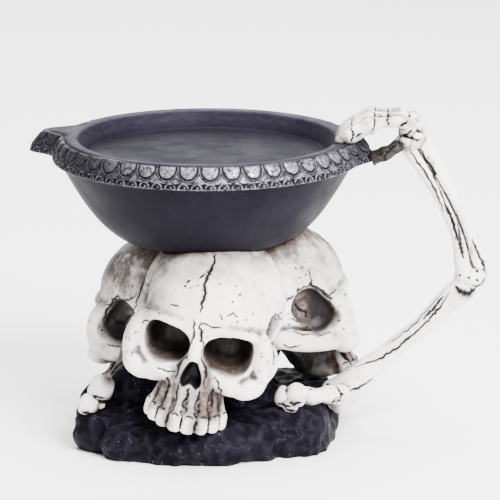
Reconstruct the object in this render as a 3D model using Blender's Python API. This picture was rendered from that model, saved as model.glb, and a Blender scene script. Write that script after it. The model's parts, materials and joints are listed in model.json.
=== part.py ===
"""Skull candle bowl: a shallow two-lugged bowl on three skulls and a rock, with a skeleton arm for a handle.

The real thing is cast resin in three castings that are glued together: the bowl, the skulls on
their rock, and the arm whose hand grips one lug. Sizes are metres, +Z is up, the origin is on the
table under the bowl's axis, the front skull looks along -Y and the arm is at +X.
"""

import math

import bmesh
import bpy
from mathutils import Matrix, Vector, noise

GLUE_LINE = 0.0003  # the gap left between castings where they are bonded

# Bowl
RIM_HEIGHT = 0.131  # top of the rim above the table
RIM_RADIUS = 0.0622  # outer edge of the flat rim
RIM_WIDTH = 0.0060  # flat top of the rim, between the tray and the band
TRAY_DEPTH = 0.0070
TRAY_SLOPE = 0.0045  # how much smaller the tray's floor is than its mouth
BAND_HEIGHT = 0.0090  # the ornamental band that hangs from the rim
BAND_FLARE = 0.0042  # how far the band's lower edge stands out past the rim
BAND_STEP = 0.0028  # the ledge under the band, back to the body of the bowl
FOOT_RADIUS = 0.0290  # flat underside
FOOT_HEIGHT = 0.0860  # underside of the bowl above the table
BELLY_DROP = 0.0110  # control point of the body's curve, below the band
BELLY_INSET = 0.0065
HEEL_REACH = 0.0170  # control point of the curve into the flat underside
BOWL_SEGMENTS = 84
BODY_ROWS = 5

# Lugs: bearing round the rim, reach, and half the angle covered. The hand holds the first one
LUGS = (
    (math.radians(0), 0.0052, math.radians(9.0)),
    (math.radians(171), 0.0125, math.radians(7.4)),
)
LUG_FULLNESS = 2.6  # 2 is a bell curve, more is squarer
LUG_CROWDING = 2.2  # how much closer the bowl's segments stand at the lugs

# Scales carved on the band
SCALE_PITCH = 0.0092
SCALE_GAP = 0.0008
SCALE_DROP = 0.0062  # from the rim's edge to the bottom of the U
SCALE_RELIEF = 0.0009
SCALE_SINK = 0.0012  # how far a scale is rooted in the band
SCALE_STEPS = 5

# One skull. Its own origin is the middle of the cranium, its face looks along -Y
CRANIUM = (0.0310, 0.0360, 0.0300)  # half width, half length, half height
CRANIUM_BACKSET = 0.0030
FOREHEAD = (0.0268, 0.0224, 0.0250)
FOREHEAD_FORWARD = 0.0140
FACE_FRONT = 0.0362  # glabella, forward of the skull's origin
FACE_MASK = (0.0276, 0.0160, 0.0165)  # the block that the sockets are sunk in
FACE_MASK_HEIGHT = -0.0165
BROW = ((0.0145, -0.0292, -0.0036), (0.0112, 0.0056, 0.0030))  # centre and size of the ridge over a socket
# Rims of the left socket, of half the nose and of the left temple's hollow, as seen square on
SOCKET_RIM = (
    (0.0030, -0.0100), (0.0054, -0.0068), (0.0102, -0.0048), (0.0158, -0.0040), (0.0208, -0.0046),
    (0.0240, -0.0070), (0.0247, -0.0118), (0.0238, -0.0168), (0.0212, -0.0205), (0.0170, -0.0220),
    (0.0120, -0.0215), (0.0074, -0.0198), (0.0044, -0.0168), (0.0031, -0.0135),
)
NOSE_RIM = ((0.0000, -0.0168), (0.0022, -0.0190), (0.0042, -0.0235), (0.0047, -0.0272), (0.0029, -0.0298))
NOSE_SPINE = (0.0000, -0.0280)
TEMPLE_RIM = (
    (-0.0112, 0.0028), (-0.0180, -0.0025), (-0.0222, -0.0110), (-0.0196, -0.0164), (-0.0120, -0.0186),
    (-0.0055, -0.0145), (-0.0008, -0.0066), (-0.0030, 0.0002),
)
# The hollows taper inwards: (depth, share of the rim's size, shift towards the middle)
SOCKET_TAPER = (
    (-0.0500, 1.06, 0.0), (-0.0330, 1.0, 0.0), (-0.0260, 0.93, 0.0008),
    (-0.0200, 0.76, 0.0018), (-0.0165, 0.46, 0.0026),
)
NOSE_TAPER = ((-0.0500, 1.10, 0.0), (-0.0350, 1.0, 0.0), (-0.0310, 0.84, 0.0), (-0.0285, 0.5, 0.0))
TEMPLE_TAPER = ((0.0400, 1.20, 0.0), (0.0290, 1.02, 0.0), (0.0248, 0.84, 0.0), (0.0226, 0.5, 0.0))
# Cheekbone: its pillar beside the socket, its lower border, and the bridge to the upper jaw
CHEEKBONE = (
    ((0.0264, -0.0226, -0.0148), (0.0054, 0.0078, 0.0122), (0, math.radians(-7), math.radians(20))),
    ((0.0236, -0.0262, -0.0262), (0.0078, 0.0066, 0.0052), (0, math.radians(-24), math.radians(24))),
    ((0.0158, -0.0308, -0.0262), (0.0080, 0.0046, 0.0044), (0, math.radians(10), math.radians(24))),
)
CHEEK_HEIGHT = -0.0230
ARCH_SPREAD = 0.0284
ARCH_THICKNESS = 0.0044
NOSE_TOP = -0.0155
NOSE_BRIDGE_REACH = 0.0396
JAW_HALF_WIDTH = 0.0168
JAW_DEPTH = 0.0150
JAW_CENTRE = 0.0235  # centre of the dental arch, forward of the skull's origin
MUZZLE = ((0.0040, -0.0250, 0.0168), (0.0020, -0.0325, 0.0146), (0.0010, -0.0375, 0.0136))  # back, z, radius
UNDER_CHEEK = ((0.0298, -0.0190, -0.0425), (0.0146, 0.0170, 0.0102))
CANINE_HOLLOW = ((0.0118, -0.0408, -0.0318), (0.0046, 0.0062, 0.0040))
TEETH_EDGE = -0.0488  # biting edge
TOOTH_HEIGHT = 0.0086
TOOTH_COUNT = 8
TOOTH_ARC = math.radians(164)
TOOTH_DEPTH = 0.0026
ROOT_RADIUS = 0.0014
ROOT_LENGTH = 0.0095

# The three skulls stand back to back and look outwards, a third of a circle apart
SKULL_HEIGHT = 0.0645  # middle of a cranium above the table
SKULL_GROUP = (0.0060, -0.0015)  # middle of the group
SKULL_BEARING = math.radians(-94.0)  # of the front skull
# Distance out from the middle of the group, drop below SKULL_HEIGHT, lean to its left side, and nod
SKULL_STANCES = {
    "front": (0.0230, 0.0, math.radians(11), 0.0),
    "right": (0.0192, 0.0, 0.0, math.radians(-7)),
    "left": (0.0230, 0.0048, math.radians(4), 0.0),
}

# Rock: boulders fused into one mass, and the core that fills the middle between the skulls
BOULDERS = {
    "front": ((-0.0080, -0.0325, 0.0060), (0.0360, 0.0260, 0.0125)),
    "front_left": ((-0.0370, -0.0240, 0.0070), (0.0190, 0.0180, 0.0130)),
    "front_middle": ((0.0170, -0.0290, 0.0056), (0.0190, 0.0200, 0.0112)),
    "front_right": ((0.0385, -0.0190, 0.0070), (0.0180, 0.0230, 0.0135)),
    "right": ((0.0355, 0.0080, 0.0080), (0.0225, 0.0235, 0.0140)),
    "left": ((-0.0355, -0.0020, 0.0065), (0.0215, 0.0300, 0.0125)),
    "left_high": ((-0.0285, -0.0120, 0.0190), (0.0165, 0.0150, 0.0150)),
    "back": ((0.0000, 0.0300, 0.0070), (0.0400, 0.0280, 0.0140)),
    "back_left": ((-0.0320, 0.0260, 0.0070), (0.0220, 0.0220, 0.0125)),
    "back_right": ((0.0340, 0.0270, 0.0070), (0.0210, 0.0210, 0.0130)),
}
CORE = ((0.0050, 0.0000, 0.0260), (0.0250, 0.0250, 0.0360))
ROCK_RELIEF = 0.0042  # height of the crags
ROCK_GRAIN = 0.017  # size of the crags
ROCK_VOXEL = 0.0012

# Loose bones on the rock: (x, y, z, radius) along the shaft, then the two knuckles of its end
LEFT_BONE_SHAFT = (
    (-0.0325, -0.0110, 0.0410, 0.0040),
    (-0.0348, -0.0145, 0.0345, 0.0031),
    (-0.0395, -0.0205, 0.0275, 0.0033),
    (-0.0436, -0.0262, 0.0240, 0.0040),
)
LEFT_BONE_KNUCKLES = ((-0.0438, -0.0285, 0.0262, 0.0056), (-0.0487, -0.0298, 0.0188, 0.0050))
RIGHT_BONE_SHAFT = (
    (0.0580, -0.0120, 0.0205, 0.0042),
    (0.0500, -0.0220, 0.0225, 0.0035),
    (0.0415, -0.0290, 0.0245, 0.0042),
)
RIGHT_BONE_KNUCKLES = ((0.0405, -0.0310, 0.0255, 0.0050), (0.0350, -0.0300, 0.0240, 0.0045))

# Arm, in the XZ plane: (x, y, z, radius) along each bone
UPPER_ARM = (
    (0.0565, 0.0000, 0.0165, 0.0078),
    (0.0615, 0.0000, 0.0205, 0.0072),
    (0.0672, 0.0000, 0.0262, 0.0060),
    (0.0732, 0.0000, 0.0315, 0.0049),
    (0.0792, 0.0000, 0.0368, 0.0046),
    (0.0852, 0.0000, 0.0419, 0.0044),
    (0.0912, 0.0000, 0.0466, 0.0044),
    (0.0972, 0.0000, 0.0526, 0.0048),
    (0.1045, 0.0000, 0.0600, 0.0054),
    (0.1110, 0.0000, 0.0655, 0.0062),
)
RADIUS_BONE = (
    (0.1152, 0.0012, 0.0700, 0.0050),
    (0.1168, 0.0012, 0.0772, 0.0040),
    (0.1140, 0.0014, 0.0867, 0.0031),
    (0.1101, 0.0014, 0.0972, 0.0029),
    (0.1048, 0.0014, 0.1076, 0.0029),
    (0.0988, 0.0012, 0.1181, 0.0032),
    (0.0925, 0.0008, 0.1290, 0.0040),
)
ULNA = (
    (0.1125, -0.0014, 0.0710, 0.0048),
    (0.1102, -0.0014, 0.0762, 0.0036),
    (0.1084, -0.0014, 0.0867, 0.0026),
    (0.1043, -0.0014, 0.0972, 0.0024),
    (0.0991, -0.0014, 0.1076, 0.0024),
    (0.0925, -0.0012, 0.1181, 0.0027),
    (0.0865, -0.0008, 0.1280, 0.0036),
)
ELBOW = ((0.1140, 0.0000, 0.0708), (0.0072, 0.0064, 0.0052))
WRIST = ((0.0882, 0.0000, 0.1345), (0.0056, 0.0100, 0.0078))

# Hand: the fingers arch over the lug, side by side along Y, and the thumb meets its end
FINGER_Y = (-0.0102, -0.0036, 0.0032, 0.0098)
FINGER_LIFT = (-0.0004, 0.0008, 0.0010, 0.0002)  # how much higher each finger arches
FINGER_ROUTE = (
    (0.0870, 0.1385, 0.0034),
    (0.0825, 0.1404, 0.0030),
    (0.0765, 0.1408, 0.0024),
    (0.0705, 0.1402, 0.0032),
    (0.0655, 0.1380, 0.0026),
    (0.0618, 0.1350, 0.0031),
    (0.0585, 0.1325, 0.0025),
    (0.0565, 0.1295, 0.0022),
)
FINGER_FAN = 0.75  # the fingers come together at the wrist to this share of their spread
THUMB = (
    (0.0860, -0.0040, 0.1325, 0.0036),
    (0.0814, -0.0050, 0.1290, 0.0030),
    (0.0765, -0.0050, 0.1258, 0.0033),
    (0.0712, -0.0040, 0.1235, 0.0036),
)

# Meshing
SKULL_VOXEL = 0.0009
BASE_VOXEL = 0.00075
ARM_VOXEL = 0.0006
BASE_FACES = 7800
ARM_FACES = 2100
SOFTENING = 8  # passes of smoothing that blend the masses of a skull
TABLE_CUT = 0.05  # thickness of the block that trims the underside

BOWL_FINISH = ("black_satin", (0.045, 0.043, 0.055, 1.0), 0.42)
SKULL_FINISH = ("bone_casting", (0.72, 0.68, 0.64, 1.0), 0.55)
ARM_FINISH = ("bone_arm", (0.78, 0.74, 0.70, 1.0), 0.55)


def clear_scene():
    for item in list(bpy.data.objects):
        bpy.data.objects.remove(item)


def finish(name, colour, roughness):
    material = bpy.data.materials.new(name)
    material.use_nodes = True
    shader = material.node_tree.nodes["Principled BSDF"]
    shader.inputs["Base Color"].default_value = colour
    shader.inputs["Roughness"].default_value = roughness
    shader.inputs["Metallic"].default_value = 0.0
    return material


def object_from(name, bm):
    mesh = bpy.data.meshes.new(name)
    bmesh.ops.recalc_face_normals(bm, faces=bm.faces)
    bm.to_mesh(mesh)
    bm.free()
    item = bpy.data.objects.new(name, mesh)
    bpy.context.collection.objects.link(item)
    return item


def settle(item):
    """Applies the object's modifiers and returns it."""
    bpy.context.view_layer.update()
    evaluated = item.evaluated_get(bpy.context.evaluated_depsgraph_get())
    mesh = bpy.data.meshes.new_from_object(evaluated)
    item.modifiers.clear()
    item.data = mesh
    return item


def remesh(item, voxel, passes):
    """Fuses overlapping shapes into one skin and softens it."""
    skin = item.modifiers.new("skin", "REMESH")
    skin.mode = "VOXEL"
    skin.voxel_size = voxel
    if passes:
        soft = item.modifiers.new("soft", "SMOOTH")
        soft.factor = 0.5
        soft.iterations = passes
    return settle(item)


def boolean(item, other, operation):
    cut = item.modifiers.new(operation.lower(), "BOOLEAN")
    cut.operation = operation
    cut.solver = "EXACT"
    cut.object = other
    settle(item)
    bpy.data.objects.remove(other)
    return item


def drop_crumbs(item):
    """Keeps the largest body of a mesh, without flakes and sealed pockets."""
    bm = bmesh.new()
    bm.from_mesh(item.data)
    waiting = set(bm.verts)
    bodies = []
    while waiting:
        body = set()
        edge = [waiting.pop()]
        while edge:
            vertex = edge.pop()
            body.add(vertex)
            for link in vertex.link_edges:
                other = link.other_vert(vertex)
                if other in waiting:
                    waiting.discard(other)
                    edge.append(other)
        bodies.append(body)
    main = max(bodies, key=len)
    bmesh.ops.delete(bm, geom=[v for v in bm.verts if v not in main], context="VERTS")
    bm.to_mesh(item.data)
    bm.free()
    return item


def thin_out(item, faces):
    """Reduces the skin to about this many triangles."""
    count = sum(len(polygon.vertices) - 2 for polygon in item.data.polygons)
    reduce = item.modifiers.new("thin", "DECIMATE")
    reduce.ratio = min(1.0, faces / count)
    return settle(item)


def ball_pattern():
    """A unit ball that the ellipsoids are copied from."""
    bm = bmesh.new()
    bmesh.ops.create_uvsphere(bm, u_segments=28, v_segments=16, radius=1.0)
    mesh = bpy.data.meshes.new("ball")
    bm.to_mesh(mesh)
    bm.free()
    return mesh


def ellipsoid(bm, centre, radii, turn=(0.0, 0.0, 0.0), power=1.0):
    """An ellipsoid. turn is Euler angles, and a power under 1 squares it off."""
    first = len(bm.verts)
    bm.from_mesh(bpy.data.meshes.get("ball") or ball_pattern())
    bm.verts.ensure_lookup_table()
    rotation = Matrix.Rotation(turn[2], 3, "Z") @ Matrix.Rotation(turn[1], 3, "Y")
    rotation = rotation @ Matrix.Rotation(turn[0], 3, "X")
    for vertex in bm.verts[first:]:
        squared = (math.copysign(abs(c) ** power, c) for c in vertex.co)
        scaled = Vector([c * r for c, r in zip(squared, radii)])
        vertex.co = rotation @ scaled + Vector(centre)


def pair(bm, centre, radii, turn=(0.0, 0.0, 0.0), power=1.0):
    """The same ellipsoid on the right and, mirrored, on the left."""
    for side in (1, -1):
        mirrored = (side * centre[0], centre[1], centre[2])
        angles = (turn[0], side * turn[1], side * turn[2])
        ellipsoid(bm, mirrored, radii, angles, power)


def plug(bm, rim, taper, side=1, sideways=False):
    """A tapering plug that cuts a hollow with this rim: from the front, or from the side."""
    middle = [sum(point[i] for point in rim) / len(rim) for i in (0, 1)]
    rings = []
    for depth, share, shift in taper:
        ring = []
        for u, v in rim:
            across = middle[0] + (u - middle[0]) * share - shift
            height = middle[1] + (v - middle[1]) * share
            place = (side * depth, across, height) if sideways else (side * across, depth, height)
            ring.append(bm.verts.new(place))
        rings.append(ring)
    for near, far in zip(rings, rings[1:]):
        for i in range(len(rim)):
            j = (i + 1) % len(rim)
            bm.faces.new((near[i], near[j], far[j], far[i]))
    bm.faces.new(rings[0])
    bm.faces.new(rings[-1][::-1])


def smooth_stations(stations, steps=4):
    """More stations between the given ones, on a Catmull-Rom curve."""
    points = [Vector(s) for s in stations]
    ends = [2 * points[0] - points[1], *points, 2 * points[-1] - points[-2]]
    fine = []
    for a, b, c, d in zip(ends, ends[1:], ends[2:], ends[3:]):
        for step in range(steps):
            t = step / steps
            fine.append(
                0.5 * (2 * b + (c - a) * t + (2 * a - 5 * b + 4 * c - d) * t * t
                       + (3 * b - a - 3 * c + d) * t**3)
            )
    return fine + [points[-1]]


def limb(bm, stations, sides=12, capped=True):
    """A round bar of changing radius through (x, y, z, radius) stations, with rounded ends if capped."""
    fine = smooth_stations(stations)
    places = [s.to_3d() for s in fine]
    radii = [s[3] for s in fine]
    rings = []
    for i, (place, radius) in enumerate(zip(places, radii)):
        ahead = places[min(i + 1, len(places) - 1)] - places[max(i - 1, 0)]
        turn = ahead.normalized().to_track_quat("Z", "Y").to_matrix()
        ring = []
        for k in range(sides):
            angle = math.tau * k / sides
            offset = turn @ Vector((math.cos(angle), math.sin(angle), 0.0)) * radius
            ring.append(bm.verts.new(place + offset))
        rings.append(ring)
    for low, high in zip(rings, rings[1:]):
        for k in range(sides):
            bm.faces.new((low[k], low[(k + 1) % sides], high[(k + 1) % sides], high[k]))
    bm.faces.new(rings[0][::-1])
    bm.faces.new(rings[-1])
    for place, radius in ((places[0], radii[0]), (places[-1], radii[-1])) if capped else ():
        ellipsoid(bm, place, (radius, radius, radius))


# Bowl


def lug_bulge(angle):
    """How far the rim stands out at this angle."""
    bulge = 0.0
    for bearing, reach, width in LUGS:
        off = abs(math.remainder(angle - bearing, math.tau))
        bulge += reach * math.exp(-((off / width) ** LUG_FULLNESS))
    return bulge


def band_point(angle, share, lift=0.0):
    """A point of the ornamental band: share 0 is at the rim, 1 at its lower edge."""
    swell = math.sin(share * math.pi / 2)
    radius = RIM_RADIUS + BAND_FLARE * swell + lug_bulge(angle) * (0.82 + 0.18 * share) + lift
    return Vector((radius * math.cos(angle), radius * math.sin(angle), RIM_HEIGHT - BAND_HEIGHT * share))


def body_profile(steps, clearance=0.0):
    """(radius, height) pairs down the outside of the bowl, from under the band to its underside."""
    top = Vector((RIM_RADIUS + BAND_FLARE - BAND_STEP, RIM_HEIGHT - BAND_HEIGHT - 0.0004))
    belly = Vector((top.x - BELLY_INSET, top.y - BELLY_DROP))
    heel = Vector((FOOT_RADIUS + HEEL_REACH, FOOT_HEIGHT + 0.0005))
    foot = Vector((FOOT_RADIUS, FOOT_HEIGHT))
    points = []
    for i in range(steps + 1):
        t = i / steps
        point = ((1 - t) ** 3 * top + 3 * (1 - t) ** 2 * t * belly
                 + 3 * (1 - t) * t * t * heel + t**3 * foot)
        points.append(Vector((point.x + clearance, point.y - clearance)))
    return points


def bowl_blank(clearance=0.0, segments=BOWL_SEGMENTS):
    """The bowl without its scales. With a clearance it is that much bigger all round."""
    bm = bmesh.new()
    mouth = RIM_RADIUS - RIM_WIDTH
    floor = mouth - TRAY_SLOPE
    band_shares = (0.0, 0.3, 0.65, 0.9, 1.0)
    rings = []
    for angle in spread_round(segments, 0.0, segment_density):
        across = Vector((math.cos(angle), math.sin(angle), 0.0))
        up = Vector((0.0, 0.0, 1.0))
        ring = []
        for reach, height in ((floor - 0.0012, -TRAY_DEPTH), (floor, 0.0008 - TRAY_DEPTH),
                              (mouth - 0.0006, -0.0006), (mouth + 0.0006, 0.0)):
            ring.append(across * (reach - clearance) + up * (RIM_HEIGHT + height + clearance))
        for share in band_shares:
            point = band_point(angle, share, clearance)
            ring.append(point + up * (clearance * (1 - 2 * share)))
        ledge = lug_bulge(angle) * 0.35
        for i, point in enumerate(body_profile(BODY_ROWS, clearance)):
            ease = ledge if i == 0 else 0.0
            ring.append(across * (point.x + ease) + up * point.y)
        rings.append([bm.verts.new(place) for place in ring])
    for left, right in zip(rings, rings[1:] + rings[:1]):
        for a, b, c, d in zip(left, left[1:], right[1:], right):
            bm.faces.new((a, b, c, d))
    bm.faces.new([ring[0] for ring in rings])
    bm.faces.new([ring[-1] for ring in rings][::-1])
    return bm


def spread_round(count, start, density):
    """Angles round the rim from a start, spaced so that each step holds the same share of a density."""
    steps = 2880
    run = [0.0]
    for i in range(steps):
        run.append(run[-1] + density(start + math.tau * (i + 0.5) / steps))
    angles = []
    i = 0
    for k in range(count):
        target = k / count * run[-1]
        while run[i + 1] < target:
            i += 1
        angles.append(start + math.tau * (i + (target - run[i]) / (run[i + 1] - run[i])) / steps)
    return angles


def segment_density(angle):
    """The bowl's segments crowd together at the lugs."""
    crowd = 1.0
    for bearing, _, width in LUGS:
        off = abs(math.remainder(angle - bearing, math.tau))
        crowd += LUG_CROWDING * math.exp(-((off / (2 * width)) ** 2))
    return crowd


def edge_length(angle):
    """Length of the band's edge in one small step round the rim."""
    step = math.tau / 2880
    return (band_point(angle + step / 2, 0.5) - band_point(angle - step / 2, 0.5)).length


def carve_scale(bm, middle, half_angle):
    """One U-shaped scale, wrapped onto the band round this angle."""
    outline = [(-1.0, 0.02), (-1.0, 0.45)]
    for i in range(1, SCALE_STEPS):
        turn = math.pi * i / SCALE_STEPS
        outline.append((-math.cos(turn), 0.45 + 0.55 * math.sin(turn)))
    outline += [(1.0, 0.45), (1.0, 0.02)]
    deep = SCALE_DROP / BAND_HEIGHT
    front = [bm.verts.new(band_point(middle + u * 0.94 * half_angle, v * deep, SCALE_RELIEF))
             for u, v in outline]
    root = [bm.verts.new(band_point(middle + u * half_angle, v * deep * 1.03, -SCALE_SINK))
            for u, v in outline]
    bm.faces.new(front)
    bm.faces.new(root[::-1])
    for i in range(len(outline)):
        j = (i + 1) % len(outline)
        bm.faces.new((front[j], front[i], root[i], root[j]))


def make_bowl():
    bowl = object_from("bowl", bowl_blank())
    round_edge = sum(edge_length(math.tau * i / 2880) for i in range(2880))
    count = round(round_edge / SCALE_PITCH)
    middles = spread_round(count, LUGS[1][0], edge_length)
    scales = bmesh.new()
    for i, middle in enumerate(middles):
        before = math.remainder(middle - middles[i - 1], math.tau)
        after = math.remainder(middles[(i + 1) % count] - middle, math.tau)
        share = 1 - SCALE_GAP / SCALE_PITCH
        carve_scale(scales, middle, share * min(before, after) / 2)
    return boolean(bowl, object_from("scales", scales), "UNION")


# Skulls


def skull_masses(bm):
    """The solid masses of one skull, right and left sides alike."""
    ellipsoid(bm, (0, CRANIUM_BACKSET, 0), CRANIUM)
    ellipsoid(bm, (0, -FOREHEAD_FORWARD, -0.002), FOREHEAD)
    ellipsoid(bm, (0, FACE_MASK[1] - FACE_FRONT + 0.0008, FACE_MASK_HEIGHT), FACE_MASK, power=0.82)
    pair(bm, *BROW, (0, math.radians(6), math.radians(24)))
    for centre, radii, turn in CHEEKBONE:
        pair(bm, centre, radii, turn)
    for side in (1, -1):
        limb(bm, ((side * (ARCH_SPREAD - 0.0042), -0.0220, CHEEK_HEIGHT, ARCH_THICKNESS + 0.0014),
                  (side * (ARCH_SPREAD - 0.0006), -0.0130, CHEEK_HEIGHT + 0.001, ARCH_THICKNESS + 0.0004),
                  (side * ARCH_SPREAD, -0.0030, CHEEK_HEIGHT + 0.003, ARCH_THICKNESS),
                  (side * (ARCH_SPREAD - 0.003), 0.0070, CHEEK_HEIGHT + 0.006, ARCH_THICKNESS)))
    limb(bm, ((0, 0.0040 - FACE_FRONT, NOSE_TOP + 0.0100, 0.0042),
              (0, 0.0032 - NOSE_BRIDGE_REACH, NOSE_TOP + 0.0030, 0.0036),
              (0, 0.0026 - NOSE_BRIDGE_REACH, NOSE_TOP, 0.0028)))
    limb(bm, [(0, back - JAW_CENTRE, height, radius) for back, height, radius in MUZZLE], capped=False)
    gum = TEETH_EDGE + TOOTH_HEIGHT
    ellipsoid(bm, (0, -JAW_CENTRE, gum), (JAW_HALF_WIDTH - 0.0026, JAW_DEPTH - 0.0026, 0.0066), power=0.8)


def skull_teeth(bm):
    """Teeth and the ridges of their roots, round the dental arch."""
    pitch = TOOTH_ARC / TOOTH_COUNT
    gum = TEETH_EDGE + TOOTH_HEIGHT
    for i in range(TOOTH_COUNT):
        angle = (i + 0.5) * pitch - TOOTH_ARC / 2
        x = (JAW_HALF_WIDTH - 0.0012) * math.sin(angle)
        y = -JAW_CENTRE - (JAW_DEPTH - 0.0012) * math.cos(angle)
        half_width = 0.42 * pitch * (JAW_HALF_WIDTH + JAW_DEPTH) / 2
        rise = 0.0022 * math.sin(angle) ** 2
        ellipsoid(bm, (x, y, TEETH_EDGE + TOOTH_HEIGHT / 2 + rise),
                  (half_width, TOOTH_DEPTH, TOOTH_HEIGHT / 2), (0, 0, angle), 0.62)
        limb(bm, ((x * 0.98, y + 0.0008, gum - 0.0010 + rise, ROOT_RADIUS + 0.0004),
                  (x * 0.92, y + 0.0018, gum - 0.0010 + ROOT_LENGTH / 2, ROOT_RADIUS),
                  (x * 0.84, y + 0.0024, gum - 0.0010 + ROOT_LENGTH, ROOT_RADIUS - 0.0003)), sides=8)


def skull_hollows(bm):
    """What is cut away: eye sockets, nose, temples and the hollows under the cheeks."""
    for side in (1, -1):
        plug(bm, SOCKET_RIM, SOCKET_TAPER, side)
        plug(bm, TEMPLE_RIM, TEMPLE_TAPER, side, sideways=True)
    nose = (*NOSE_RIM, NOSE_SPINE, *[(-x, z) for x, z in NOSE_RIM[:0:-1]])
    plug(bm, nose, NOSE_TAPER)
    pair(bm, *UNDER_CHEEK, power=0.9)
    pair(bm, *CANINE_HOLLOW)


def make_skull():
    masses = bmesh.new()
    skull_masses(masses)
    skull = remesh(object_from("skull", masses), SKULL_VOXEL, SOFTENING)
    hollows = bmesh.new()
    skull_hollows(hollows)
    cutter = remesh(object_from("hollows", hollows), SKULL_VOXEL, SOFTENING // 2)
    boolean(skull, cutter, "DIFFERENCE")
    soft = skull.modifiers.new("soft", "SMOOTH")
    soft.iterations = 3
    settle(skull)
    whole = bmesh.new()
    skull_teeth(whole)
    whole.from_mesh(skull.data)
    whole.to_mesh(skull.data)
    whole.free()
    return skull


def stand(turn, spread, drop, lean, nod):
    """Matrix that stands a skull in its place, a turn round the group from the front one."""
    bearing = SKULL_BEARING + turn
    x, y = SKULL_GROUP
    place = Vector((x + spread * math.cos(bearing), y + spread * math.sin(bearing), SKULL_HEIGHT - drop))
    facing = Matrix.Rotation(bearing + math.pi / 2, 4, "Z")
    return Matrix.Translation(place) @ facing @ Matrix.Rotation(lean, 4, "Y") @ Matrix.Rotation(nod, 4, "X")


# Rock and loose bones


def make_rock():
    """The boulders and the core, fused, with crags along their skin."""
    bm = bmesh.new()
    for centre, radii in (*BOULDERS.values(), CORE):
        ellipsoid(bm, centre, radii, power=0.8)
    rock = remesh(object_from("rock", bm), ROCK_VOXEL, SOFTENING)
    rough = bmesh.new()
    rough.from_mesh(rock.data)
    for vertex in rough.verts:
        place = vertex.co / ROCK_GRAIN
        crag = noise.noise(place) - 0.5 * abs(noise.noise(2.3 * place + Vector((7, 3, 1))))
        vertex.co += vertex.normal * crag * ROCK_RELIEF
    rough.to_mesh(rock.data)
    rough.free()
    return rock


def loose_bone(bm, shaft, knuckles):
    limb(bm, shaft)
    for x, y, z, radius in knuckles:
        ellipsoid(bm, (x, y, z), (radius, radius, radius))


def make_base(skull):
    """The skulls, the rock and the loose bones, as one casting."""
    bm = bmesh.new()
    rock = make_rock()
    bm.from_mesh(rock.data)
    bpy.data.objects.remove(rock)
    loose_bone(bm, LEFT_BONE_SHAFT, LEFT_BONE_KNUCKLES)
    loose_bone(bm, RIGHT_BONE_SHAFT, RIGHT_BONE_KNUCKLES)
    for i, stance in enumerate(SKULL_STANCES.values()):
        copy = skull.data.copy()
        copy.transform(stand(i * math.tau / 3, *stance))
        bm.from_mesh(copy)
        bpy.data.meshes.remove(copy)
    base = remesh(object_from("skull_base", bm), BASE_VOXEL, 1)
    thin_out(drop_crumbs(base), BASE_FACES)
    boolean(base, object_from("seat", bowl_blank(GLUE_LINE, 64)), "DIFFERENCE")
    below = bmesh.new()
    bmesh.ops.create_cube(below, size=1.0, matrix=Matrix.LocRotScale(
        Vector((0, 0, -TABLE_CUT / 2)), None, Vector((0.3, 0.3, TABLE_CUT))))
    boolean(base, object_from("table", below), "DIFFERENCE")
    return drop_crumbs(base)


# Arm and hand


def fingers(bm):
    for across, lift in zip(FINGER_Y, FINGER_LIFT):
        stations = []
        for i, (x, z, radius) in enumerate(FINGER_ROUTE):
            share = i / (len(FINGER_ROUTE) - 1)
            spread = FINGER_FAN + (1 - FINGER_FAN) * min(1.0, 2 * share)
            arch = lift * math.sin(math.pi * share)
            stations.append((x, across * spread, z + arch, radius))
        limb(bm, stations, sides=10)


def make_arm(base):
    bm = bmesh.new()
    for bone in (UPPER_ARM, RADIUS_BONE, ULNA, THUMB):
        limb(bm, bone)
    ellipsoid(bm, *WRIST)
    ellipsoid(bm, *ELBOW)
    fingers(bm)
    arm = remesh(object_from("arm_handle", bm), ARM_VOXEL, 2)
    thin_out(arm, ARM_FACES)
    boolean(arm, object_from("grip", bowl_blank(SCALE_RELIEF + GLUE_LINE, 96)), "DIFFERENCE")
    root = bpy.data.objects.new("root_seat", base.data.copy())
    bpy.context.collection.objects.link(root)
    swell = root.modifiers.new("swell", "DISPLACE")
    swell.strength = GLUE_LINE
    swell.mid_level = 0.0
    settle(root)
    return drop_crumbs(boolean(arm, root, "DIFFERENCE"))


def main():
    clear_scene()
    bowl = make_bowl()
    skull = make_skull()
    base = make_base(skull)
    bpy.data.objects.remove(skull)
    arm = make_arm(base)
    for item, look in ((bowl, BOWL_FINISH), (base, SKULL_FINISH), (arm, ARM_FINISH)):
        item.data.materials.clear()
        item.data.materials.append(finish(*look))
        item.data.shade_smooth()
        item.data.set_sharp_from_angle(angle=math.radians(40))


main()
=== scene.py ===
import json
import math

import bpy
import numpy as np
from mathutils import Matrix, Vector, noise
from mathutils.bvhtree import BVHTree

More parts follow.
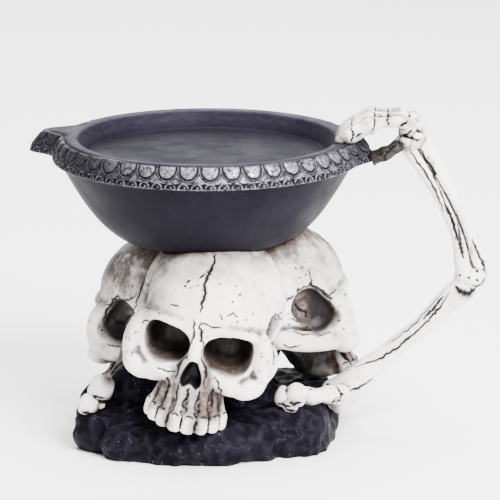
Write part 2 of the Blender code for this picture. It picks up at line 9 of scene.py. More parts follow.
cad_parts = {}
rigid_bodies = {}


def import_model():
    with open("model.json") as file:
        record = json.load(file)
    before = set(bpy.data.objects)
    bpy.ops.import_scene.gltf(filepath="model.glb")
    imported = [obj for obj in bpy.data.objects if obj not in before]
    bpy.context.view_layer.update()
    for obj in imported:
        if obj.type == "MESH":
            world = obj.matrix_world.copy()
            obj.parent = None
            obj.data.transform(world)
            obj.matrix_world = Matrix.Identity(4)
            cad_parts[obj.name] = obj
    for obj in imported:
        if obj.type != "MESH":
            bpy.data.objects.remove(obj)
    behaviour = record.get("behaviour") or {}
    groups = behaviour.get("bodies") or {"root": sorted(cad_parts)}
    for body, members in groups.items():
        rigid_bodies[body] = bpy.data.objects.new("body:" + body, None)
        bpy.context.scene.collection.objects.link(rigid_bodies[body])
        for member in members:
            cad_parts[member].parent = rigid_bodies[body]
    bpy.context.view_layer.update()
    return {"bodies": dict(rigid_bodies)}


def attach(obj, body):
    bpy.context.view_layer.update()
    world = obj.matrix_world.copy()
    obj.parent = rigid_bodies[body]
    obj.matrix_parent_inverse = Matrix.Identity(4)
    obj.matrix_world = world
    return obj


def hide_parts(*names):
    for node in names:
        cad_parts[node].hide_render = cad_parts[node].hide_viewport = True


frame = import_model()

ROOT = next(iter(frame["bodies"]))

# Sizes in metres, the same as the solids have
RIM_HEIGHT = 0.131
RIM_RADIUS = 0.0622
RIM_WIDTH = 0.006
TRAY_DEPTH = 0.007
TRAY_SLOPE = 0.0045
BAND_HEIGHT = 0.009
BAND_FLARE = 0.0042
BAND_STEP = 0.0028
FOOT_RADIUS = 0.029
FOOT_HEIGHT = 0.086
GLUE_LINE = 0.0003
LUGS = ((0.0, 0.0052, math.radians(9.0)), (math.radians(171), 0.0125, math.radians(7.4)))
SKULL_GROUP = (0.006, -0.0015)
SKULL_BEARING = math.radians(-94.0)
# Distance out and height in metres, lean and nod in degrees, of the front, right and left skull
SKULL_STANCES = ((0.023, 0.0645, 11, 0), (0.0192, 0.0645, 0, -7), (0.023, 0.0597, 4, 0))
# Rims of an eye socket, of the nose and of a temple, in millimetres
SOCKET_RIM = ((3.0, -10.0), (5.4, -6.8), (10.2, -4.8), (15.8, -4.0), (20.8, -4.6), (24.0, -7.0),
              (24.7, -11.8), (23.8, -16.8), (21.2, -20.5), (17.0, -22.0), (12.0, -21.5), (7.4, -19.8),
              (4.4, -16.8), (3.1, -13.5))
NOSE_RIM = ((0.0, -16.8), (2.2, -19.0), (4.2, -23.5), (4.7, -27.2), (2.9, -29.8), (0.0, -28.0),
            (-2.9, -29.8), (-4.7, -27.2), (-4.2, -23.5), (-2.2, -19.0))
TEMPLE_RIM = ((-11.2, 2.8), (-18.0, -2.5), (-22.2, -11.0), (-19.6, -16.4), (-12.0, -18.6), (-5.5, -14.5),
              (-0.8, -6.6), (-3.0, 0.2))

# Grain of each skin, step of a drawn line, reach of the finer mesh round it and gap of a weld, in metres
CLAY_GRAIN = 0.0009
HOLLOW_GRAIN = 0.0007
SKULL_GRAIN = 0.0007
ROCK_GRAIN = 0.00086
LOOSE_BONE_GRAIN = 0.00032
UPPER_ARM_GRAIN = 0.00041
FOREARM_GRAIN = 0.00038
HAND_GRAIN = 0.00036
LINE_STEP = 0.0012
FINE_REACH = 0.001
WELD_GAP = 0.000002
MM = 0.001

# How fine the bowl and its band are, and the band's scales
BOWL_COLUMNS = 640
BODY_ROWS = 26
BAND_COLUMNS = 1560
BAND_ROWS = 38
BAND_BACK_ROWS = 5
SCALE_WIDTH = 0.0092
SCALE_RELIEF = 0.0011

# The photograph: width, focal length and place of the rim's middle in pixels, and the camera's distance
PHOTO_WIDTH = 500.0
FOCAL_LENGTH = 3495.0
RIM_IN_PHOTO = (207.0, 136.5)
CAMERA_DISTANCE = 1.5
CAMERA_BEARING = math.radians(3.5)
CAMERA_TILT = math.radians(13.7)
SENSOR_WIDTH = 36.0

# Tint of the shine on black paint
COOL_SHINE = (0.86, 0.82, 1.0, 1.0)


# Modelling by hand: primitives, joining, skinning and cutting


def put_down():
    bpy.ops.object.select_all(action="DESELECT")


def take_up(*pieces):
    put_down()
    for piece in pieces:
        piece.select_set(True)
    bpy.context.view_layer.objects.active = pieces[0]
    return pieces[0]


def ball(at, size, tip=(0.0, 0.0, 0.0), square=1.0):
    """A ball of clay, squeezed to size. Under 1, square flattens its sides."""
    put_down()
    bpy.ops.mesh.primitive_uv_sphere_add(segments=32, ring_count=18, radius=1.0, location=at,
                                         rotation=tip, scale=size)
    piece = bpy.context.object
    if square != 1.0:
        co = read_points(piece) / np.array(size)
        write_points(piece, np.sign(co) * np.abs(co) ** square * np.array(size))
    bpy.ops.object.transform_apply(location=True, rotation=True, scale=True)
    return piece


def twin_balls(at, size, tip=(0.0, 0.0, 0.0), square=1.0):
    """A ball and its mirror image."""
    other = ball((-at[0], at[1], at[2]), size, (tip[0], -tip[1], -tip[2]), square)
    return [ball(at, size, tip, square), other]


def bone(stations, ends=(0, -1)):
    """A round bone through (x, y, z, radius) stations, with a ball at its ends."""
    put_down()
    bpy.ops.curve.primitive_bezier_curve_add(location=(0, 0, 0))
    piece = bpy.context.object
    line = piece.data
    points = line.splines[0].bezier_points
    points.add(len(stations) - 2)
    for point, (x, y, z, radius) in zip(points, stations):
        point.co = (x, y, z)
        point.radius = radius
        point.handle_left_type = point.handle_right_type = "AUTO"
    line.resolution_u = 8
    line.bevel_depth = 1.0
    line.bevel_resolution = 5
    line.use_fill_caps = True
    bpy.ops.object.convert(target="MESH")
    return [piece] + [ball(stations[i][:3], (stations[i][3],) * 3) for i in ends]


def gather(name, parts):
    """Joins loose parts into one piece."""
    flat = []
    for part in parts:
        flat.extend(part if isinstance(part, list) else [part])
    piece = take_up(*flat)
    bpy.ops.object.join()
    piece.name = name
    return piece


def apply_all(piece):
    take_up(piece)
    for modifier in list(piece.modifiers):
        bpy.ops.object.modifier_apply(modifier=modifier.name)
    return piece


def skin(piece, grain, soft=0):
    """Fuses a piece into one skin with this grain and rubs it smooth."""
    take_up(piece)
    bpy.ops.object.modifier_add(type="REMESH")
    piece.modifiers[-1].mode = "VOXEL"
    piece.modifiers[-1].voxel_size = grain
    if soft:
        bpy.ops.object.modifier_add(type="SMOOTH")
        piece.modifiers[-1].iterations = soft
    return apply_all(piece)


def scoop(piece, cutter):
    """Cuts one piece out of another."""
    take_up(piece)
    bpy.ops.object.modifier_add(type="BOOLEAN")
    piece.modifiers[-1].operation = "DIFFERENCE"
    piece.modifiers[-1].solver = "EXACT"
    piece.modifiers[-1].object = cutter
    apply_all(piece)
    bpy.data.objects.remove(cutter)
    return piece


def smooth_ring(rim, steps=5):
    """A closed outline with soft corners, through the given corners, in metres."""
    corners = np.array(rim) * MM
    ring = []
    for i in range(len(corners)):
        a, b, c, d = (corners[(i + k) % len(corners)] for k in (-1, 0, 1, 2))
        for t in np.arange(steps) / steps:
            ring.append(0.5 * (2 * b + (c - a) * t + (2 * a - 5 * b + 4 * c - d) * t * t
                               + (3 * b - a - 3 * c + d) * t ** 3))
    return np.array(ring)


def plug(rim, taper, side=1, sideways=False):
    """A tapering plug for cutting a hollow, from (depth, share of the rim, shift) stations."""
    ring = smooth_ring(rim)
    sheet, column, row = rolled_sheet("plug", len(ring), len(taper) - 1)
    middle = ring.mean(0)
    depth, share, shift = np.array(taper)[row].T
    flat = middle + (ring[column % len(ring)] - middle) * share[:, None]
    across = flat[:, 0] - shift
    order = (side * depth, across, flat[:, 1]) if sideways else (side * across, depth, flat[:, 1])
    write_points(sheet, np.stack(order, axis=1))
    return weld(sheet, bpy.ops.mesh.edge_face_add)


def weld(piece, mend=None):
    """Closes a rolled sheet's seam, mends its open edges and turns every face outwards."""
    take_up(piece)
    bpy.ops.object.mode_set(mode="EDIT")
    bpy.ops.mesh.select_all(action="SELECT")
    bpy.ops.mesh.remove_doubles(threshold=WELD_GAP)
    if mend:
        bpy.ops.mesh.select_all(action="DESELECT")
        bpy.ops.mesh.select_non_manifold()
        mend()
        bpy.ops.mesh.select_all(action="SELECT")
    bpy.ops.mesh.normals_make_consistent(inside=False)
    bpy.ops.object.mode_set(mode="OBJECT")
    return piece


def read_points(piece):
    co = np.empty(len(piece.data.vertices) * 3)
    piece.data.vertices.foreach_get("co", co)
    return co.reshape(-1, 3)


def write_points(piece, co):
    piece.data.vertices.foreach_set("co", np.ascontiguousarray(co, dtype=float).ravel())
    piece.data.update()


def read_normals(piece):
    no = np.empty(len(piece.data.vertices) * 3)
    piece.data.vertex_normals.foreach_get("vector", no)
    return no.reshape(-1, 3)


def lumps(co, grain, seed=0.0):
    """Smooth noise, -1 to 1, at each point."""
    shift = Vector((seed, 2.7 * seed, -1.3 * seed))
    return np.array([noise.noise(Vector(p) / grain + shift) for p in co])


def rising(values, start, span):
    """0 up to start, 1 from start + span on, and even between them."""
    return np.clip((values - start) / span, 0, 1)


def falling(values, end, span):
    """1 up to end - span, 0 from end on, and even between them."""
    return np.clip((end - values) / span, 0, 1)


def bell(values, middle, width):
    """1 at the middle, and fading out to both sides."""
    return np.exp(-(((values - middle) / width) ** 2))


# Carving strokes, washes and painted shade


def jagged(points, step, wander, seed):
    """A hand-drawn line: the points joined in short steps that wander."""
    points = np.array(points, dtype=float)
    rng = np.random.default_rng(seed)
    line = [points[0]]
    for a, b in zip(points, points[1:]):
        count = max(1, round(np.linalg.norm(b - a) / step))
        for i in range(1, count + 1):
            line.append(a + (b - a) * i / count + rng.normal(0, wander, 3))
    return np.array(line)


def from_line(co, line):
    """How far each point is from a line, and how far along it, from 0 to 1."""
    best = np.full(len(co), 1e9)
    along = np.zeros(len(co))
    near = np.nonzero(np.all((co > line.min(0) - 0.003) & (co < line.max(0) + 0.003), axis=1))[0]
    here = co[near]
    spans = max(1, len(line) - 1)
    for i, (a, b) in enumerate(zip(line, line[1:])):
        way = b - a
        t = np.clip((here - a) @ way / max(way @ way, 1e-12), 0, 1)
        far = np.linalg.norm(here - a - t[:, None] * way, axis=1)
        closer = far < best[near]
        best[near[closer]] = far[closer]
        along[near[closer]] = (i + t[closer]) / spans
    return best, along


def settle(line, co, no):
    """Lays a line's points on the surface."""
    near = np.all((co > line.min(0) - 0.006) & (co < line.max(0) + 0.006), axis=1)
    if near.any():
        co, no = co[near], no[near]
    laid = []
    for p in line:
        v = np.argmin(((co - p) ** 2).sum(1))
        laid.append(p - no[v] * ((p - co[v]) @ no[v]))
    return np.array(laid)


def stroke(piece, points, width, depth, seed, wander, ink, ink_width):
    """Carves a line into a piece, and inks it."""
    co, no = read_points(piece), read_normals(piece)
    far, along = from_line(co, settle(jagged(points, LINE_STEP, wander, seed), co, no))
    thin = 1 - 0.75 * np.abs(2 * along - 1) ** 3
    uneven = np.random.default_rng(seed + 5).uniform(0.55, 1.15, 24)
    thin = thin * np.interp(along * 23, np.arange(24), uneven)
    cut = bell(far, 0, width * thin)
    write_points(piece, co - no * (cut * depth * thin)[:, None])
    np.maximum(ink, bell(far, 0, ink_width * thin), out=ink)


def prick(piece, spots, radius, depth, ink):
    """Pricks small round pits and inks them."""
    co, no = read_points(piece), read_normals(piece)
    cut = np.zeros(len(co))
    for spot in settle(np.array(spots), co, no):
        np.maximum(cut, np.exp(-((co - spot) ** 2).sum(1) / radius ** 2), out=cut)
    write_points(piece, co - no * (cut * depth)[:, None])
    np.maximum(ink, cut * 0.9, out=ink)


def refine(piece, lines, reach):
    """Makes the mesh twice as fine along the lines that will be carved."""
    co, no = read_points(piece), read_normals(piece)
    near = np.zeros(len(co), dtype=bool)
    for points in lines:
        near |= from_line(co, settle(jagged(points, LINE_STEP, 0.0, 1), co, no))[0] < reach
    take_up(piece)
    bpy.ops.object.mode_set(mode="EDIT")
    bpy.ops.mesh.select_mode(type="VERT")
    bpy.ops.mesh.select_all(action="DESELECT")
    bpy.ops.object.mode_set(mode="OBJECT")
    piece.data.vertices.foreach_set("select", near)
    bpy.ops.object.mode_set(mode="EDIT")
    bpy.ops.mesh.select_mode(type="VERT")
    bpy.ops.mesh.subdivide(number_cuts=1)
    bpy.ops.object.mode_set(mode="OBJECT")


def neighbours(piece):
    """The two ends of every edge."""
    edges = np.empty(len(piece.data.edges) * 2, dtype=np.int64)
    piece.data.edges.foreach_get("vertices", edges)
    return edges.reshape(-1, 2)


def rub(values, edges, times):
    """Averages values with their neighbours."""
    count = np.bincount(edges.ravel(), minlength=len(values)).astype(float)
    count[count == 0] = 1
    for _ in range(times):
        if values.ndim == 1:
            total = np.bincount(edges[:, 0], values[edges[:, 1]], len(values))
            total += np.bincount(edges[:, 1], values[edges[:, 0]], len(values))
            values = 0.5 * values + 0.5 * total / count
        else:
            values = np.stack([rub(values[:, i], edges, 1) for i in range(values.shape[1])], axis=1)
    return values


def hollowness(piece, reach):
    """How far each point lies below its surroundings, in metres. More reach looks wider."""
    co = read_points(piece)
    edges = neighbours(piece)
    soft = rub(co, edges, reach)
    return np.einsum("ij,ij->i", soft - co, read_normals(piece))


def paint(piece, name, values):
    """Keeps a value for each point, which the finish reads."""
    data = piece.data
    layer = data.attributes.get(name) or data.attributes.new(name, "FLOAT", "POINT")
    layer.data.foreach_set("value", np.asarray(values, dtype=np.float32))


def read_paint(piece, name):
    values = np.empty(len(piece.data.vertices), dtype=np.float32)
    piece.data.attributes[name].data.foreach_get("value", values)
    return values


def wash_into(piece, fine, broad):
    """Where a thin wash collects, the creases and the wider hollows, and the edges that stay bare."""
    paint(piece, "crease", rising(hollowness(piece, 3), 0, fine))
    paint(piece, "wash_and_shade", rising(hollowness(piece, 24), 0, broad))
    paint(piece, "edge", rising(-hollowness(piece, 6), 0, fine))


def occlusion_shade(pieces, reach=0.022, cell=0.0019, rays=26):
    """Keeps, for each point of the pieces, how closed in by them it is, from 0 to 1: where the parts close
    each other in, shade is painted from it.
    """
    corners, faces, start = [], [], 0
    for piece in pieces:
        corners.append(read_points(piece))
        faces.extend([start + i for i in polygon.vertices] for polygon in piece.data.polygons)
        start += len(piece.data.vertices)
    tree = BVHTree.FromPolygons(np.concatenate(corners).tolist(), faces)
    spread = (np.arange(rays) + 0.5) / rays
    turn = np.arange(rays) * math.pi * (3 - math.sqrt(5))
    flat = np.sqrt(spread)
    dome = np.stack([flat * np.cos(turn), flat * np.sin(turn), np.sqrt(1 - spread)], axis=1)
    for piece in pieces:
        co, no = read_points(piece), read_normals(piece)
        _, first, where = np.unique(np.rint(co / cell).astype(int), axis=0, return_index=True,
                                    return_inverse=True)
        closed = np.zeros(len(first))
        for i, v in enumerate(first):
            up = no[v]
            side = np.cross(up, (0.3, 0.9, 0.2))
            side /= np.linalg.norm(side)
            ways = dome @ np.array([side, np.cross(up, side), up])
            at = Vector(co[v] + up * 0.0005)
            for way in ways:
                hit = tree.ray_cast(at, Vector(way), reach)
                if hit[0] is not None:
                    closed[i] += 1 - 0.5 * hit[3] / reach
        paint(piece, "occlusion_shade", rub(closed[where.ravel()] / rays, neighbours(piece), 10))


# Finishes


class Finish:
    """A Principled material, painted in coats, with short ways to add nodes to it."""

    def __init__(self, name, roughness, base):
        self.material = bpy.data.materials.new(name)
        self.material.use_nodes = True
        self.nodes = self.material.node_tree.nodes
        self.links = self.material.node_tree.links
        self.shader = self.nodes["Principled BSDF"].inputs
        self.shader["Roughness"].default_value = roughness
        self.place = self.nodes.new("ShaderNodeTexCoord").outputs["Object"]
        self.base = base

    def put(self, value, socket):
        if isinstance(value, bpy.types.NodeSocket):
            self.links.new(value, socket)
        elif value is not None:
            socket.default_value = value

    def grain(self, scale, detail=4.0, rough=0.55, stretch=None, warp=0.0):
        place = self.place
        if stretch:
            mapping = self.nodes.new("ShaderNodeMapping")
            mapping.inputs["Scale"].default_value = stretch
            self.links.new(place, mapping.inputs["Vector"])
            place = mapping.outputs["Vector"]
        node = self.nodes.new("ShaderNodeTexNoise")
        for name, value in (("Vector", place), ("Scale", scale), ("Detail", detail), ("Roughness", rough),
                            ("Distortion", warp)):
            self.put(value, node.inputs[name])
        return node.outputs["Fac"]

    def painted(self, name):
        node = self.nodes.new("ShaderNodeAttribute")
        node.attribute_name = name
        return node.outputs["Fac"]

    def sums(self, kind, *values):
        node = self.nodes.new("ShaderNodeMath")
        node.operation = kind
        for value, socket in zip(values, node.inputs):
            self.put(value, socket)
        return node.outputs[0]

    def times(self, a, b):
        return self.sums("MULTIPLY", a, b)

    def partly(self, value, share):
        """Full strength, but for this share, which follows the value."""
        return self.sums("MULTIPLY_ADD", value, share, 1 - share)

    def ramp(self, value, low, high, to_low=0.0, to_high=1.0):
        node = self.nodes.new("ShaderNodeMapRange")
        node.interpolation_type = "SMOOTHSTEP"
        for value, socket in zip((value, low, high, to_low, to_high), node.inputs):
            self.put(value, socket)
        return node.outputs[0]

    def soak(self, mask, thick=2.6):
        """A coat of wash, ink or painted shade that soon covers: little of the mask already darkens."""
        return self.sums("SUBTRACT", 1.0, self.sums("POWER", self.sums("SUBTRACT", 1.0, mask), thick))

    def coat(self, share, colour):
        """One more coat of paint, as thick as the share says."""
        node = self.nodes.new("ShaderNodeMix")
        node.data_type = "RGBA"
        for value, place in ((share, 0), (self.base, 6), (colour, 7)):
            self.put(value, node.inputs[place])
        self.base = node.outputs[2]

    def bumps(self, height, distance, strength, under=None):
        node = self.nodes.new("ShaderNodeBump")
        for name, value in (("Strength", strength), ("Distance", distance), ("Height", height),
                            ("Normal", under)):
            self.put(value, node.inputs[name])
        return node.outputs["Normal"]

    def done(self, specular=None, rough=None, normal=None, tint=None):
        """Puts the paint on the shader and hands over the material."""
        for name, value in (("Base Color", self.base), ("Specular IOR Level", specular),
                            ("Specular Tint", tint), ("Roughness", rough), ("Normal", normal)):
            self.put(value, self.shader[name])
        return self.material


def shade(red, green, blue):
    """A colour as a paint chip gives it, 0 to 255, for a shader."""
    def line(c):
        c /= 255
        return c / 12.92 if c <= 0.04045 else ((c + 0.055) / 1.055) ** 2.4
    return (line(red), line(green), line(blue), 1.0)


def bone_finish(name, light, cool):
    """Pale paint under a brown wash, which is dark in the hollows and black in the cracks, with painted shade
    between the pieces, under the bowl, under the cheeks and on the thumb.
    """
    f = Finish(name, 0.5, shade(*light))
    f.coat(f.ramp(f.grain(38, 3), 0.38, 0.66), shade(*cool))
    stain = f.ramp(f.grain(120, 6, 0.65, warp=0.6), 0.46, 0.74)
    f.coat(f.times(stain, 0.2), shade(150, 118, 100))
    smears = f.ramp(f.grain(190, 6, 0.75, stretch=(1.0, 1.0, 0.35), warp=1.2), 0.36, 0.6)
    # Painted shade, dark brown, where the pieces close each other in
    shade_between_parts = f.ramp(f.painted("occlusion_shade"), 0.18, 0.72, 0.0, 0.85)
    f.coat(f.soak(f.times(shade_between_parts, f.partly(smears, 0.35))), shade(74, 58, 53))
    # Brown wash in the hollows, and with it painted shade under the bowl, on the skulls' left sides and on
    # the thumb under the lug
    mottle = f.ramp(f.grain(260, 6, 0.7, warp=0.8), 0.3, 0.62)
    wash_and_shade = f.times(f.painted("wash_and_shade"), f.partly(mottle, 0.6))
    f.coat(f.times(f.soak(wash_and_shade), 0.96), shade(57, 41, 33))
    streaks = f.ramp(f.grain(420, 5, 0.7, stretch=(1.0, 1.0, 0.3), warp=0.5), 0.3, 0.55)
    crease = f.times(f.painted("crease"), f.partly(streaks, 0.6))
    f.coat(f.times(f.soak(crease), 0.97), shade(24, 15, 13))
    # Near black: the dark wash with painted shade in the sockets, the nose and the temples, and painted shade
    # under the cheeks, on the thumb and on the left loose bone's shaft
    f.coat(f.soak(f.times(f.painted("depth"), f.partly(smears, 0.3))), shade(10, 7, 7))
    specks = f.ramp(f.grain(820, 2, 0.5), 0.69, 0.74)
    f.coat(f.times(specks, 0.55), shade(70, 50, 42))
    bare = f.sums("SUBTRACT", 1.0, f.sums("MAXIMUM", f.painted("wash_and_shade"), f.painted("depth")))
    f.coat(f.times(f.times(f.painted("edge"), bare), 0.35), shade(250, 247, 243))
    f.coat(f.soak(f.painted("ink"), 2.0), shade(4, 3, 4))
    rough = f.ramp(f.grain(210, 3), 0.3, 0.7, 0.4, 0.58)
    uneven = f.bumps(f.grain(620, 5, 0.65), 0.00022, 0.5, f.bumps(f.grain(170, 3), 0.0006, 0.35))
    return f.done(0.15, rough, uneven)


def black_finish(name):
    """Satin black, greyer where it is scuffed, and lighter on the flat rim and the tray's wall, which is wear
    and painted sheen.
    """
    f = Finish(name, 0.36, shade(9, 8, 13))
    f.coat(f.ramp(f.grain(30, 4, 0.6), 0.3, 0.7), shade(17, 15, 22))
    # The rim and the tray's wall: wear, and painted sheen
    rubbed = f.ramp(f.grain(240, 6, 0.7, stretch=(1, 1, 3)), 0.3, 0.7, 0.35, 1.0)
    f.coat(f.times(f.painted("wear_and_sheen"), rubbed), shade(50, 47, 60))
    scuffs = f.ramp(f.grain(140, 6, 0.7, stretch=(1, 1, 3), warp=1.2), 0.62, 0.76)
    f.coat(f.times(scuffs, 0.12), shade(62, 59, 74))
    pits = f.ramp(f.grain(420, 2, 0.5), 0.74, 0.8)
    f.coat(f.times(pits, 0.4), shade(5, 5, 8))
    rough = f.ramp(f.grain(75, 4, 0.6), 0.3, 0.7, 0.42, 0.56)
    uneven = f.bumps(f.grain(300, 3, 0.5), 0.0002, 0.12, f.bumps(f.grain(40, 3), 0.0012, 0.12))
    return f.done(0.03, rough, uneven, COOL_SHINE)


def silvered_finish(name):
    """The black of the bowl with silvering rubbed over what stands out, brighter at the front as a painted
    highlight.
    """
    f = Finish(name, 0.38, shade(5, 5, 8))
    f.coat(f.ramp(f.grain(60, 4), 0.3, 0.7), shade(11, 10, 15))
    wear_and_sheen = f.ramp(f.grain(650, 5, 0.7, warp=0.5), 0.36, 0.62)
    rubbed = f.times(f.painted("silver_and_highlight"), wear_and_sheen)
    f.coat(rubbed, shade(140, 138, 150))
    f.put(f.times(rubbed, 0.7), f.shader["Metallic"])
    rough = f.ramp(f.grain(300, 4), 0.3, 0.7, 0.3, 0.48)
    return f.done(0.06, rough, f.bumps(f.grain(800, 4, 0.6), 0.0002, 0.5))


def rock_finish(name):
    """Black rock, brushed with grey-blue and scratched."""
    f = Finish(name, 0.45, shade(6, 5, 9))
    f.coat(f.ramp(f.grain(55, 5, 0.6), 0.3, 0.7), shade(13, 12, 18))
    brushed = f.ramp(f.grain(230, 7, 0.75, stretch=(1.0, 1.0, 2.2), warp=1.0), 0.5, 0.72)
    patches = f.ramp(f.grain(40, 2), 0.44, 0.62)
    f.coat(f.times(f.times(brushed, patches), 0.4), shade(56, 53, 70))
    f.coat(f.times(f.painted("edge"), 0.1), shade(60, 58, 74))
    scratches = f.ramp(f.grain(300, 3, 0.6, stretch=(3.0, 0.35, 1.0), warp=2.4), 0.66, 0.74)
    where = f.ramp(f.grain(62, 2), 0.46, 0.58)
    f.coat(f.times(f.times(scratches, where), 0.75), shade(150, 148, 160))
    f.coat(f.times(f.painted("crease"), 0.35), shade(4, 4, 6))
    rough = f.ramp(f.grain(120, 4), 0.3, 0.7, 0.36, 0.58)
    uneven = f.bumps(f.grain(340, 6, 0.65), 0.0005, 0.5, f.bumps(f.grain(90, 4, 0.6), 0.0016, 0.45))
    return f.done(0.03, rough, uneven, COOL_SHINE)


def dress(piece, finish, node):
    """Gives a finished piece its finish and its place on the frame."""
    piece.data.materials.clear()
    piece.data.materials.append(finish)
    take_up(piece)
    bpy.ops.object.shade_smooth()
    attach(piece, ROOT)
    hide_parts(node)


# Bowl


def lug_bulge(angle):
    bulge = np.zeros_like(angle)
    for bearing, reach, width in LUGS:
        off = np.abs((angle - bearing + math.pi) % math.tau - math.pi)
        bulge += reach * np.exp(-((off / width) ** 2.6))
    return bulge


def band_radius(angle, share):
    return RIM_RADIUS + BAND_FLARE * np.sin(share * math.pi / 2) + lug_bulge(angle) * (0.82 + 0.18 * share)


def even_angles(count, start):
    """Angles that step evenly along the band's edge, lugs included, and the edge's length."""
    fine = start + np.linspace(0, math.tau, 8001)
    radius = band_radius(fine, np.full_like(fine, 0.5))
    x, y = radius * np.cos(fine), radius * np.sin(fine)
    run = np.concatenate([[0], np.cumsum(np.hypot(np.diff(x), np.diff(y)))])
    return np.interp(np.arange(count + 1) / count * run[-1], run, fine), run[-1]


def body_profile(steps):
    """(radius, height) down the outside of the bowl, from under the band to its flat underside."""
    top = np.array((RIM_RADIUS + BAND_FLARE - BAND_STEP, RIM_HEIGHT - BAND_HEIGHT - 0.0004))
    belly = top - (0.0065, 0.011)
    foot = np.array((FOOT_RADIUS, FOOT_HEIGHT))
    heel = foot + (0.017, 0.0005)
    t = np.linspace(0, 1, steps + 1)[:, None]
    return (1 - t) ** 3 * top + 3 * (1 - t) ** 2 * t * belly + 3 * (1 - t) * t * t * heel + t ** 3 * foot


def rolled_sheet(name, across, down):
    """A flat grid, ready to be rolled into a ring. Returns it with its columns and rows."""
    put_down()
    bpy.ops.mesh.primitive_grid_add(x_subdivisions=across, y_subdivisions=down, size=2.0, location=(0, 0, 0))
    piece = bpy.context.object
    piece.name = name
    x, y, _ = read_points(piece).T
    return piece, np.rint((x + 1) / 2 * across).astype(int), np.rint((y + 1) / 2 * down).astype(int)


def make_bowl():
    """The bowl in the black: tray, flat rim, the wall behind the band, and the round body."""
    mouth = RIM_RADIUS - RIM_WIDTH
    floor = mouth - TRAY_SLOPE
    tray = [(r, -TRAY_DEPTH) for r in (0.0, 0.012, 0.024, 0.036, 0.044, floor - 0.0016, floor - 0.001)]
    tray += [(floor - 0.0005, 0.0002 - TRAY_DEPTH), (floor, 0.0008 - TRAY_DEPTH),
             (floor + 0.002, 0.0038 - TRAY_DEPTH), (mouth - 0.001, -0.0011), (mouth - 0.0006, -0.0005),
             (mouth, -0.0001), (mouth + 0.0006, 0.0), (mouth + 0.002, 0.0)]
    body = body_profile(BODY_ROWS)
    shares = [0.0, 0.04, 0.1, 0.5, 0.9, 1.0]
    rows = len(tray) + len(shares) + len(body) + 1
    sheet, column, row = rolled_sheet("bowl_body", BOWL_COLUMNS, rows - 1)
    angles, _ = even_angles(BOWL_COLUMNS, 0.0)
    angle = angles[column % BOWL_COLUMNS]
    radius = np.zeros(len(angle))
    height = np.zeros(len(angle))
    for i, (r, z) in enumerate(tray):
        radius[row == i] = r
        height[row == i] = RIM_HEIGHT + z
    for i, share in enumerate(shares):
        here = row == len(tray) + i
        inset = 0.0002 if share == 0.0 else 0.001
        radius[here] = band_radius(angle[here], share) - inset
        height[here] = RIM_HEIGHT - (0.00005 if share == 0.0 else BAND_HEIGHT * share)
    for i, (r, z) in enumerate(body):
        here = row == len(tray) + len(shares) + i
        radius[here] = r + (lug_bulge(angle[here]) * 0.35 if i == 0 else 0.0)
        height[here] = z
    last = row == rows - 1
    radius[last] = 0.0
    height[last] = FOOT_HEIGHT
    co = np.stack([radius * np.cos(angle), radius * np.sin(angle), height], axis=1)
    uneven = lumps(co, 0.022, 3.0) * 0.00018 + lumps(co, 0.006, 5.0) * 0.00005
    co[:, 2] += np.where(radius > 0.001, uneven, 0.0)
    write_points(sheet, co)
    # Lighter on the flat rim and the tray's wall: scuffs, and painted sheen where those faces catch the light
    rim = (radius > mouth - 0.0004) & (height > RIM_HEIGHT - 0.0004)
    slope = (radius > floor) & (height > RIM_HEIGHT - TRAY_DEPTH)
    paint(sheet, "wear_and_sheen", np.where(rim, 0.8, np.where(slope, 0.35, 0.1)))
    return weld(sheet)


def scale_relief(along, down, pitch):
    """Height of the carved band, and silvering of its flats and lines, from 0 to 1.

    Along is the way round, down the way below the rim's edge and pitch the width of a scale.
    """
    x = (along / pitch - np.floor(along / pitch) - 0.5) * pitch
    rho = np.where(down < 1.1, np.abs(x), np.hypot(x, down - 1.1))
    half = pitch / 2
    disc = np.clip((half - 1.15 - rho) / 0.35, 0, 1)
    dome = disc * (0.55 + 0.35 * np.clip(1 - (rho / (half - 1.1)) ** 2, 0, 1))
    ridge = bell(rho, half - 0.12, 0.24) * 0.42
    ground = np.clip((rho - (half + 0.35)) / 0.25, 0, 1) * 0.5
    height = np.maximum(np.maximum(dome, ridge), ground)
    flat = np.maximum(disc * 0.95, np.clip(ground * 2, 0, 1) * 0.8)
    # small waves under the scales
    small = pitch * 0.6
    share = along / small
    wave_x = (share - np.floor(share) - 0.5) * small
    arc = np.hypot(wave_x, down - 9.1)
    row = np.clip((down - 6.75) / 0.25, 0, 1)
    arch = bell(arc, small * 0.36, 0.27)
    curl = bell(np.hypot(wave_x - 0.45, down - 8.6), 0, 0.42)
    wave = np.maximum(arch, curl)
    height = height * (1 - row) + row * (wave * 0.55 - 0.1)
    flat = flat * (1 - row)
    line = ridge * (1 - row) + row * wave * 0.8
    bead = bell(down, 9.55, 0.3)
    height = np.maximum(height, bead * 0.5)
    line = np.maximum(line, bead * 0.6)
    edge = np.clip(down / 0.35, 0, 1)
    return height * edge, flat * edge, line * edge


